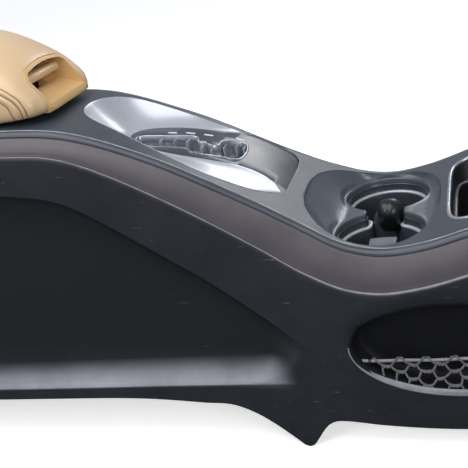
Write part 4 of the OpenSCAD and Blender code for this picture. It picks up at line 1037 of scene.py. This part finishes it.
def lip_ring(t):
    down = clamp(-math.sin(t) * 1.02)
    wide, ring = mix(0.3, 3.9, smooth(down * 1.1) ** 2), []
    for o, d in ((1.0, 0.1), (0.8, 0.6), (0.3, 0.9), (-0.3, 0.7), (-0.5 * wide, 0.1),
                 (-wide, -1.6), (-wide - 0.4, -2.6), (-0.5, -3), (0.7, -0.6)):
        x, z = mouth(t, o)
        ring.append((x, -side_y(*mouth(t, max(o, 0.5))) - d, z))
    return ring


# The crescent is painted pale as a highlight.
crescent = looped("pocket_lip", [lip_ring(t) for t in steps(math.pi * 1.0, math.pi * 2.0, 90)])
finish(crescent, "console", "black_plastic", angle=60, wears="lip_gloss")

# %% Net
MESH_W, MESH_H, NET_Z, CORD = 22.5, 6.2, 91.0, 1.0
noise = random.Random(7)


def in_mouth(x, z, o=-3.0):
    return ((x - POCKET_X) / (POCKET_A + o)) ** 2 + ((z - POCKET_H) / (POCKET_DN + o)) ** 2 < 1


def sag(x):
    return 91.9 + 2.6 * ((x - 34) / 92) ** 2 + 0.25 * math.sin(x / 9)


def net_y(z):
    """The net leans outwards, from the elastic down to the pocket's lip."""
    return NET_Y - 6.5 * clamp((NET_Z - z) / 26)


knots = {}
for j in range(8):
    for i in range(-1, 10):
        for end in (0, 1):
            x = -22 + (i + 0.5 * (j % 2)) * MESH_W + (end * 7.6 - 3.8) + noise.uniform(-2, 2)
            knots[i, j, end] = (x, NET_Z - MESH_H * (j + 0.5) + noise.uniform(-1.2, 1.2))
cords = []


def strand(path, turns=0.0, thick=1.0):
    radius = [CORD * thick * (1 + (0.22 * math.cos(math.tau * turns * k / (len(path) - 1))
                                   if turns else 0)) for k in range(len(path))]
    cords.append(bead("strand", path, radius, sides=6, up=(0.1, 1, 0.1)))


def between(a, b, n=6):
    return [(mix(a[0], b[0], t), net_y(mix(a[1], b[1], t)) - 0.8 * math.sin(math.pi * t),
             mix(a[1], b[1], t) - 0.3 * math.sin(math.pi * t)) for t in steps(0, 1, n)]


for (i, j, end), (x, z) in knots.items():
    if not in_mouth(x, z, -1.0):
        continue
    if end == 0 and in_mouth(*knots[i, j, 1], -0.5):
        strand(between(knots[i, j, 0], knots[i, j, 1], 18), turns=3, thick=1.55)
    down = knots.get((i + (end if j % 2 else end - 1), j + 1, 1 - end))
    if down:
        while not in_mouth(*down, -0.5):
            down = (mix(x, down[0], 0.85), mix(z, down[1], 0.85))
        strand(between((x, z), down))
    if j == 0:
        # Each upper strand passes in front of the elastic, over it and down behind it.
        dx = 4.6 if end else -4.6
        strand([(x + dx * a, NET_Y + b, sag(x) + c) for a, b, c in (
            (0, -0.6, z - sag(x)), (0.45, -1.9, -1.6), (0.8, -2.6, 0.6), (1.1, -1.8, 2.3),
            (1.35, 0, 2.6), (1.6, 1.9, 1.6), (1.75, 2.3, -1.2))], thick=0.95)
alone(cords[0])
for cord in cords:
    cord.select_set(True)
bpy.ops.object.join()
finish(named("pocket_net_cords"), "console", "net_cord", "pocket_net", angle=80)
elastic = bead("net_band", [(x, NET_Y, sag(x)) for x in steps(-26.5, 158.0, 120)],
               [1.45 + 0.12 * math.sin(x * 1.9) for x in steps(-26.5, 158.0, 120)], sides=10)
finish(elastic, "console", "net_cord", "net_elastic", angle=80, wears="net_band")

# %% [markdown]
# The armrest is leather over foam. It starts as a loft of the lid's form, is made into
# one even skin, and is blown up a little as cloth, as foam does behind a stretched
# cover. Then the base's recess and the latch housing's place are cut out of it.

# %% Armrest pad
LID_X, LID_Z, LID_W, LID_T = -290.0, 343.0, 146.0, 82.0
LID_HALF = [[0.5, 0.46], [3, 0.67], [8, 0.8], [21, 0.89], [50, 0.95], [110, 0.985], [190, 1],
            [270, 0.985], [298, 0.87], [307, 0.55]]
LID_RISE = [[0.5, 0.03], [5, 0.17], [13, 0.33], [21, 0.49], [40, 0.7], [60, 0.86], [81, 0.97],
            [120, 1], [240, 1], [285, 0.9], [300, 0.7], [307, 0.42]]
LID_STEPS = [0.5, 1.5, 3, 5, 8, 11, 15, 20, 26, 32, 38, 45, 54, 64, 76, 90, 110, 130, 150, 170,
             190, 210, 230, 250, 265, 277, 287, 294, 300, 304, 307]


def lid_half(d):
    return LID_W / 2 * curve(LID_HALF, d)


def lid_ring(d, o=0.0):
    w, h = lid_half(d) - o, LID_T * curve(LID_RISE, d) - o
    s = min(12.0, h / 2)
    ring = [(LID_X - d, w * power(math.cos(t), 0.78),
             LID_Z + s + (h - s) * power(math.sin(t), 0.78)) for t in steps(0, math.pi, 40)]
    return ring + [(LID_X - d, k * w, LID_Z + e * s) for k, e in
                   ((-0.985, 0.2), (-0.94, -0.09), (-0.88, -0.11), (-0.4, 0), (0.4, 0), (0.88, -0.11),
                    (0.94, -0.09), (0.985, 0.2))]


def lid_side(x, z, o=0.0):
    """Half width of the lid's form at a place and height."""
    d = clamp((LID_X - x) / 307) * 307
    w, h = lid_half(max(d, 0.5)), LID_T * curve(LID_RISE, max(d, 0.5))
    s = min(12.0, h / 2)
    if z < LID_Z + s:
        return w * mix(0.95, 1, clamp((z - LID_Z) / s)) - o
    sine = clamp((z - LID_Z - s) / (h - s)) ** (1 / 0.78)
    return w * math.sqrt(max(0.0, 1 - sine ** 2)) ** 0.78 - o


def house_block(name, o, low):
    """The latch housing's front view, a rectangle under a wide arch, run along the lid."""
    half, mid, r, turn = 44.0 + o, LID_Z + 44 - 160, 160.0 + o, 15.0 + o
    face = [(half, low)]
    for k in steps(math.pi / 2, -math.pi / 2, 48):
        y = half * math.sin(k)
        past = max(0.0, abs(y) - half + turn)
        top_z = mid + math.sqrt(r * r - min(abs(y), half - turn) ** 2)
        face.append((y, top_z - turn + math.sqrt(turn ** 2 - past ** 2)))
    return prism(name, face + [(-half, low)], -362 - o, -272, axis="x")


pad = looped("armrest_leather", [lid_ring(d, 0.2) for d in LID_STEPS])
apply_modifier(pad, "REMESH", mode="VOXEL", voxel_size=5 * MM)
held = pad.vertex_groups.new(name="held")
before = [vert.co.copy() for vert in pad.data.vertices]
for vert in pad.data.vertices:
    x, y, z = vert.co.x / MM - CUP_X, vert.co.y / MM, vert.co.z / MM
    near_house = clamp((x + 376) / 12) * clamp((60 - abs(y)) / 12)
    held.add([vert.index], max(near_house, 1.0 if z < LID_Z + 6 else 0.0), "REPLACE")
cloth = pad.modifiers.new("cloth", "CLOTH")
cloth.settings.use_pressure = True
cloth.settings.uniform_pressure_force = 4.0
cloth.settings.effector_weights.gravity = 0.0
cloth.settings.vertex_group_mass = "held"
cloth.point_cache.frame_start, cloth.point_cache.frame_end = 1, 20
for tick in range(1, 21):
    bpy.context.scene.frame_set(tick)
alone(pad)
bpy.ops.object.modifier_apply(modifier="cloth")
for vert, old in zip(pad.data.vertices, before):
    move = vert.co - old
    vert.co = old + move * min(1.0, 1.6 * MM / max(move.length, 1e-9))
bpy.context.scene.frame_set(1)
apply_modifier(pad, "SMOOTH", factor=0.5, iterations=6)
apply_modifier(pad, "SUBSURF", levels=1, render_levels=1)
plan = [(LID_X - d, lid_half(d) - 6) for d in steps(73, 296, 12)]
cut(pad, prism("cutter", plan + [(x, -y) for x, y in reversed(plan)], 300, LID_Z + 14.2),
    house_block("cutter", 0.5, LID_Z - 6),
    prism("cutter", [(-604, -29.5), (-587, -29.5), (-587, 29.5), (-604, 29.5)], 330, 352))
round_edges(pad, 0.7, angle=55)
finish(pad, "lid", "leather", "armrest_pad", angle=70)

# %% [markdown]
# Three seams run from the lid's lower front corner up its side. Between them the leather
# is turned under and lies as two raised bands. They are laid on the pad itself.

# %% Seams
SEAM_PATHS = [[(-307.5, 345), (-307, 353), (-310, 362), (-317, 369.5), (-326, 376), (-342, 384),
               (-370, 392), (-420, 397), (-520, 397), (-572, 391), (-590, 375), (-594, 356)],
              [(-312, 345), (-311.5, 352), (-314, 359.5), (-320.5, 366.5), (-330, 372.5),
               (-346, 380), (-373, 387.5), (-420, 392), (-520, 392), (-568, 386.5), (-585, 373),
               (-589, 356)],
              [(-320, 345), (-320.5, 350), (-322, 357.5), (-327, 363), (-336, 368.5),
               (-350, 374.5), (-376, 381), (-420, 385.5), (-520, 385.5), (-564, 380), (-579, 368),
               (-582, 354)]]


def on_pad(x, z, side, lift):
    """The nearest place on the finished pad, lifted off it."""
    guess = at(x, side * lid_side(x, z), z)
    hit, spot, normal, _ = pad.closest_point_on_mesh(guess)
    p = spot + normal * lift * MM
    return (p.x / MM - CUP_X, p.y / MM, p.z / MM)


def seam_line(k, n):
    return along_path(SEAM_PATHS[k], n)


for side, tag in ((-1, "near"), (1, "far")):
    for k in range(3):
        # The seam beads are a dark joint, with the shade in its groove painted in.
        path = [on_pad(x, z, side, 0.05) for x, z in seam_line(k, 150)]
        finish(bead("seam_%s_%d" % (tag, k + 1), path, 0.5, sides=6, up=(0, 1, 0)), "lid",
               "leather", angle=80, wears="seam_shadow")
    for k in range(2):
        n, a, b = 150, seam_line(k, 150), seam_line(k + 1, 150)
        rows = []
        for i in range(n + 1):
            row = []
            for t, lift in ((0.1, -0.8), (0.16, 0.2), (0.3, 0.85), (0.5, 1.1), (0.7, 0.85),
                            (0.84, 0.2), (0.9, -0.8)):
                row.append(on_pad(mix(a[i][0], b[i][0], t), mix(a[i][1], b[i][1], t), side, lift))
            rows.append(row + [on_pad(mix(a[i][0], b[i][0], 0.5), mix(a[i][1], b[i][1], 0.5), side,
                                      -1.2)])
        finish(looped("welt_%s_%d" % (tag, k + 1), rows), "lid", "leather", angle=75)

# %% [markdown]
# The latch housing is grained plastic in the leather's colour. It is cut from the same
# lid form, so its skin runs on from the pad's. A brow arches over the recess, whose floor
# is dished, with a finger slot and the lever's pin behind it.

# %% Latch housing and lever
house = looped("latch_house", [lid_ring(d) for d in LID_STEPS[:18]])
cut(house, house_block("cutter", 0.0, LID_Z - 0.5), how="INTERSECT")
recess_side = rounded([(-328, 404), (-328, 364), (-299, 350.5), (-250, 347.5), (-250, 404)], 9, 8)
recess = prism("cutter", recess_side, -40.6, 39, axis="y")
brow = house_block("brow_cutter", -3.2, LID_Z - 2)
cut(recess, brow, how="INTERSECT")
cut(house, recess, prism("cutter", rounded([(-336.5, -27), (-319, -27), (-319, 15),
                                            (-336.5, 15)], 2.5), 357, 371.5))
inner = prism("cutter", [(-359, -38), (-331.5, -38), (-331.5, 38), (-359, 38)], LID_Z - 6, 392)
cut(inner, house_block("brow_cutter", -2.4, LID_Z - 8), how="INTERSECT")
cut(house, inner, prism("cutter", [(-333, -20), (-325, -20), (-325, 20), (-333, 20)], 367, 379.5))
round_edges(house, 0.9, angle=32, segments=3)
finish(house, "lid", "tan_plastic", "latch_housing", angle=45)
LATCH_X, LATCH_Z = -338.0, 373.0
grip_side = rounded([(LATCH_X + a, LATCH_Z + b) for a, b in
                     ((12, -4.4), (21, -5.6), (25, -3.8), (25.6, 0.4), (22.6, 4.2), (12, 4.4))],
                    2.6, 5)
# The lever's tan is painted lighter than the housing's, as a painted highlight.
lever = prism("latch_bar", grip_side, -34.5, 33, axis="y")
round_edges(lever, 1.4, angle=60, segments=3)
finish(lever, "latch", "tan_plastic", "latch_handle", angle=50, wears="tan_smooth")
arm = prism("latch_arm", [(LATCH_X + a, LATCH_Z + b) for a, b in
                          ((-3, -3.6), (-3, 2.6), (15, 2.6), (15, -2.6), (3, -2.6), (1.5, -17),
                           (-5.8, -17), (-5.8, 0))], -9, 9, axis="y")
finish(round_edges(arm, 0.5), "latch", "tan_plastic", wears="tan_smooth")

# %% [markdown]
# Every finish is a procedural material on object coordinates, so nothing is stretched
# and every size below is real. One function gives them their shared parts: a mottle
# where hands and cleaning have changed the shine, a grain or pebble for the surface, dust
# that stays in it, and fine scratches.

# %% Wear and grain
def grained(name, colour, rough, mottle=("#ffffff", 0.0, 40), grain=(0.0, 500, "NOISE"),
            dust=(None, 0.0, 900), scratch=(None, 0.0, 260), metal=0.0, coat=0.0, specular=0.5,
            sheen=0.0, uneven=0.1, handled=()):
    """mottle: colour, share, size in per metre; grain: height in mm, scale, kind;
    dust and scratch: colour, share, scale."""
    mat = bpy.data.materials.new(name)
    mat.use_nodes = True
    tree = mat.node_tree
    tree.nodes.clear()
    where = add(tree, "ShaderNodeTexCoord").outputs["Object"]
    # Broad mottle: the eye reads it as handling and uneven cleaning.
    broad = add(tree, "ShaderNodeTexNoise", [(where, "Vector")], Scale=mottle[2], Detail=5.0,
                Roughness=0.6)
    share = add(tree, "ShaderNodeMapRange", [(broad.outputs[0], "Value")], From_Min=0.38,
                From_Max=0.68, To_Max=mottle[1])
    base = add(tree, "ShaderNodeMix", [(share.outputs[0], 0)], data_type="RGBA",
               in6=srgb(colour), in7=srgb(mottle[0]))
    shade = base.outputs[2]
    if dust[0]:
        # Specks of dust that lodge in the grain, seen as pale points.
        cells = add(tree, "ShaderNodeTexVoronoi", [(where, "Vector")], Scale=dust[2])
        speck = add(tree, "ShaderNodeMapRange", [(cells.outputs["Distance"], "Value")],
                    From_Min=0.16, From_Max=0.04, To_Max=dust[1])
        patch = add(tree, "ShaderNodeMath", [(speck.outputs[0], 0), (broad.outputs[0], 1)],
                    operation="MULTIPLY")
        dusty = add(tree, "ShaderNodeMix", [(patch.outputs[0], 0), (shade, 6)],
                    data_type="RGBA", in7=srgb(dust[0]))
        shade = dusty.outputs[2]
    if scratch[0]:
        # Long fine scratches, where bags and shoes have rubbed along the part.
        squeezed = add(tree, "ShaderNodeMapping", [(where, "Vector")],
                       Rotation=(0.1, 0.9, 0.1), Scale=(0.12, 1.0, 1.0))
        lines = add(tree, "ShaderNodeTexNoise", [(squeezed.outputs[0], "Vector")],
                    Scale=scratch[2], Detail=2.0)
        thin = add(tree, "ShaderNodeMapRange", [(lines.outputs[0], "Value")], From_Min=0.7,
                   From_Max=0.78, To_Max=scratch[1])
        scraped = add(tree, "ShaderNodeMix", [(thin.outputs[0], 0), (shade, 6)],
                      data_type="RGBA", in7=srgb(scratch[0]))
        shade = scraped.outputs[2]
    if handled:
        # Where the piece's own attribute says so, painted shade is mixed in, and on the side panels
        # pale dust with a painted highlight.
        marks = add(tree, "ShaderNodeVertexColor", layer_name="handled")
        parts = add(tree, "ShaderNodeSeparateColor", [(marks.outputs[0], 0)])
        for channel, (code, most) in enumerate(handled):
            patchy = add(tree, "ShaderNodeMapRange", [(broad.outputs[0], "Value")],
                         From_Min=0.3, From_Max=0.7, To_Min=most * 0.6, To_Max=most)
            amount = add(tree, "ShaderNodeMath", [(parts.outputs[channel], 0),
                         (patchy.outputs[0], 1)], operation="MULTIPLY")
            marked = add(tree, "ShaderNodeMix", [(amount.outputs[0], 0), (shade, 6)],
                         data_type="RGBA", in7=srgb(code))
            shade = marked.outputs[2]
    gloss = add(tree, "ShaderNodeMapRange", [(broad.outputs[0], "Value")], From_Min=0.3,
                From_Max=0.7, To_Min=rough - uneven / 2, To_Max=min(1.0, rough + uneven / 2))
    skin = add(tree, "ShaderNodeBsdfPrincipled",
               [(shade, "Base_Color"), (gloss.outputs[0], "Roughness")], Metallic=metal,
               Coat_Weight=coat, Coat_Roughness=0.12, Specular_IOR_Level=specular,
               Sheen_Weight=sheen)
    if grain[0]:
        # The moulded or natural grain itself.
        if grain[2] == "PEBBLE":
            bumps = add(tree, "ShaderNodeTexVoronoi", [(where, "Vector")], Scale=grain[1],
                        feature="SMOOTH_F1")
            height = bumps.outputs["Distance"]
        else:
            bumps = add(tree, "ShaderNodeTexNoise", [(where, "Vector")], Scale=grain[1],
                        Detail=3.0)
            height = bumps.outputs[0]
        relief = add(tree, "ShaderNodeBump", [(height, "Height")], Strength=0.6,
                     Distance=grain[0] * MM)
        tree.links.new(relief.outputs[0], skin.inputs["Normal"])
    add(tree, "ShaderNodeOutputMaterial", [(skin.outputs[0], 0)])
    return mat


# %% [markdown]
# The deck is polypropylene in a blue grey satin, a little greasy where hands rest. The
# side panels are darker, and more scratched than the deck. The padded strip is soft
# vinyl, with a painted highlight on the lip below it. The rest follows the same way.

# %% Finishes
FINISH = {
    "deck_plastic": grained("moulded_polypropylene_deck", "#3e444c", 0.36,
                            ("#4b5159", 0.5, 26), (0.05, 2200, "NOISE"), ("#8b8f96", 0.25, 700),
                            ("#7f838a", 0.22, 240), specular=0.5),
    # The crest's pale grey is a painted highlight.
    "crest_gloss": grained("polished_moulding_crest", "#7d828b", 0.22, ("#a9aeb6", 0.6, 60)),
    # The side panels' attribute paints shade into the scoop, and pale dust with a painted highlight
    # onto its ledge.
    "side_plastic": grained("grained_polypropylene_side", "#22252b", 0.42,
                            ("#2d3037", 0.6, 18), (0.09, 1400, "NOISE"), ("#8d8f94", 0.4, 620),
                            ("#a9abb0", 0.22, 420), specular=0.4, uneven=0.14,
                            handled=(("#15171b", 0.9), ("#a2a4ae", 0.95))),
    "soft_trim": grained("soft_vinyl_over_foam", "#544f55", 0.44, ("#625c62", 0.5, 30),
                         (0.08, 1500, "PEBBLE"), ("#9a9598", 0.25, 800), specular=0.4),
    # A pale grey painted highlight for the panels' lips and the bin's step.
    "worn_lip": grained("worn_moulding_lip", "#8a8b90", 0.3, ("#6a6b70", 0.6, 90)),
    "silver_paint": grained("satin_silver_paint_on_abs", "#c0c4cc", 0.3, ("#a9adb8", 0.4, 14),
                            (0.01, 3000, "NOISE"), metal=0.4, coat=0.3),
    "dark_satin": grained("dark_satin_abs", "#3a4048", 0.2, ("#464c54", 0.5, 24),
                          (0.02, 2600, "NOISE"), ("#9aa0a8", 0.2, 800), specular=0.4),
    # The cups' attribute paints in the shade inside the wells.
    "cup_satin": grained("dark_satin_abs_cups", "#4a515a", 0.28, ("#5c626b", 0.5, 24),
                         (0.02, 2600, "NOISE"), ("#9aa0a8", 0.2, 800), coat=0.2,
                         handled=(("#22262b", 0.85),)),
    "bright_rim": grained("bright_satin_chrome_plating", "#b4bcc6", 0.26, ("#7f8894", 0.6, 60),
                          metal=0.7, coat=0.4),
    # The ledge bands' pale grey is a painted highlight.
    "ledge_gloss": grained("moulded_ledge_polished_by_cups", "#c3cad3", 0.25,
                           ("#8d949e", 0.5, 60), (0.01, 2600, "NOISE"), ("#ffffff", 0.3, 500),
                           metal=0.2, coat=0.4),
    "black_plastic": grained("black_polypropylene", "#1b1c1f", 0.42, ("#26282c", 0.5, 30),
                             (0.04, 1800, "NOISE"), ("#7d7f84", 0.25, 700)),
    "gloss_black": grained("gloss_black_abs", "#101114", 0.34, ("#1a1c20", 0.5, 40),
                           (0.0, 500, "NOISE"), ("#aab0b8", 0.35, 420), coat=0.1, uneven=0.08),
    "pocket_black": grained("dark_moulding_in_shade", "#101113", 0.6, ("#17181b", 0.5, 30),
                            (0.04, 1800, "NOISE"), ("#c9cbcf", 0.03, 150), specular=0.25),
    # The pocket lip's pale grey is a painted highlight.
    "lip_gloss": grained("rubbed_pocket_lip", "#8c8e95", 0.28, ("#54565c", 0.7, 40)),
    "guide_plastic": grained("nylon_slot_guide", "#9aa0a8", 0.35, ("#5d6269", 0.6, 70)),
    "white_print": grained("screen_printed_white", "#e8eaee", 0.4, ("#c9ccd2", 0.4, 90)),
    "black_rubber": grained("ribbed_black_rubber", "#202124", 0.62, ("#2a2b2f", 0.5, 60),
                            (0.06, 1600, "NOISE"), ("#8d8f94", 0.3, 600)),
    "grey_rubber": grained("soft_grey_rubber", "#5c6066", 0.5, ("#72767c", 0.5, 70),
                           (0.04, 1600, "NOISE"), ("#b9bcc2", 0.3, 700)),
    "leather": grained("dyed_leather_over_foam", "#e2c399", 0.33, ("#d6b286", 0.45, 22),
                       (0.14, 1100, "PEBBLE"), specular=0.55, coat=0.2, sheen=0.1),
    # Seam lines: a dark joint, with the shade in its groove painted in.
    "seam_shadow": grained("stitched_leather_seam", "#8a6640", 0.6, ("#a37d50", 0.5, 300),
                           (0.1, 2400, "NOISE")),
    "tan_plastic": grained("grained_tan_abs", "#dcb57c", 0.42, ("#cfa66d", 0.45, 36),
                           (0.05, 2000, "NOISE")),
    # The lever is painted lighter than the housing, as a painted highlight.
    "tan_smooth": grained("smooth_tan_abs", "#ebcb9b", 0.34, ("#dcb984", 0.4, 60),
                          (0.02, 2400, "NOISE")),
    "board": grained("pressed_fibre_board", "#a98f6b", 0.75, ("#8d7553", 0.5, 120),
                     (0.12, 900, "NOISE")),
    "zinc_steel": grained("zinc_plated_steel", "#b9bcc0", 0.34, ("#9a9da2", 0.5, 120),
                          (0.01, 2000, "NOISE"), metal=0.9),
    "dark_steel": grained("black_painted_steel", "#3b3d41", 0.4, ("#2c2e32", 0.5, 80),
                          (0.03, 1600, "NOISE"), metal=0.5),
    "net_cord": grained("twisted_polyester_cord", "#5c5d61", 0.7, ("#7b7c80", 0.5, 200),
                        (0.3, 900, "NOISE"), sheen=0.3),
    "net_band": grained("covered_elastic_cord", "#86878b", 0.6, ("#a4a5a9", 0.5, 300),
                        (0.25, 1100, "NOISE"), sheen=0.3),
}
WEARS["cup_insert_skin"] = "cup_satin"

# %% [markdown]
# Each skin takes its finish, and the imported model's own parts that stay in sight or turn
# up when the lid is open take theirs.

# %% Dressing the pieces
for name, wears in WEARS.items():
    ob = bpy.data.objects[name]
    ob.data.materials.clear()
    ob.data.materials.append(FINISH[wears])

CAD_FINISH = {
    "black_plastic": ["carrier_frame", "rear_panel", "front_panel", "storage_bin", "lid_pan",
                      "net_hooks"],
    "black_rubber": ["storage_bin_mat", "bump_stops"],
    "board": ["armrest_base"],
    "zinc_steel": ["latch_hook", "latch_pin", "latch_spring", "latch_striker", "hinge_pin",
                   "lid_screws", "bracket_bolts", "rear_bracket", "front_bracket"],
    "dark_steel": ["hinge_bracket", "hinge_arm"],
}
dressed = 0
for finish_name, nodes in CAD_FINISH.items():
    for node in nodes:
        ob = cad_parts[node]
        for slot in ob.material_slots:
            slot.material = FINISH[finish_name]
            dressed += 1
print(len(WEARS), "pieces and", dressed, "slots of the packed model are dressed")
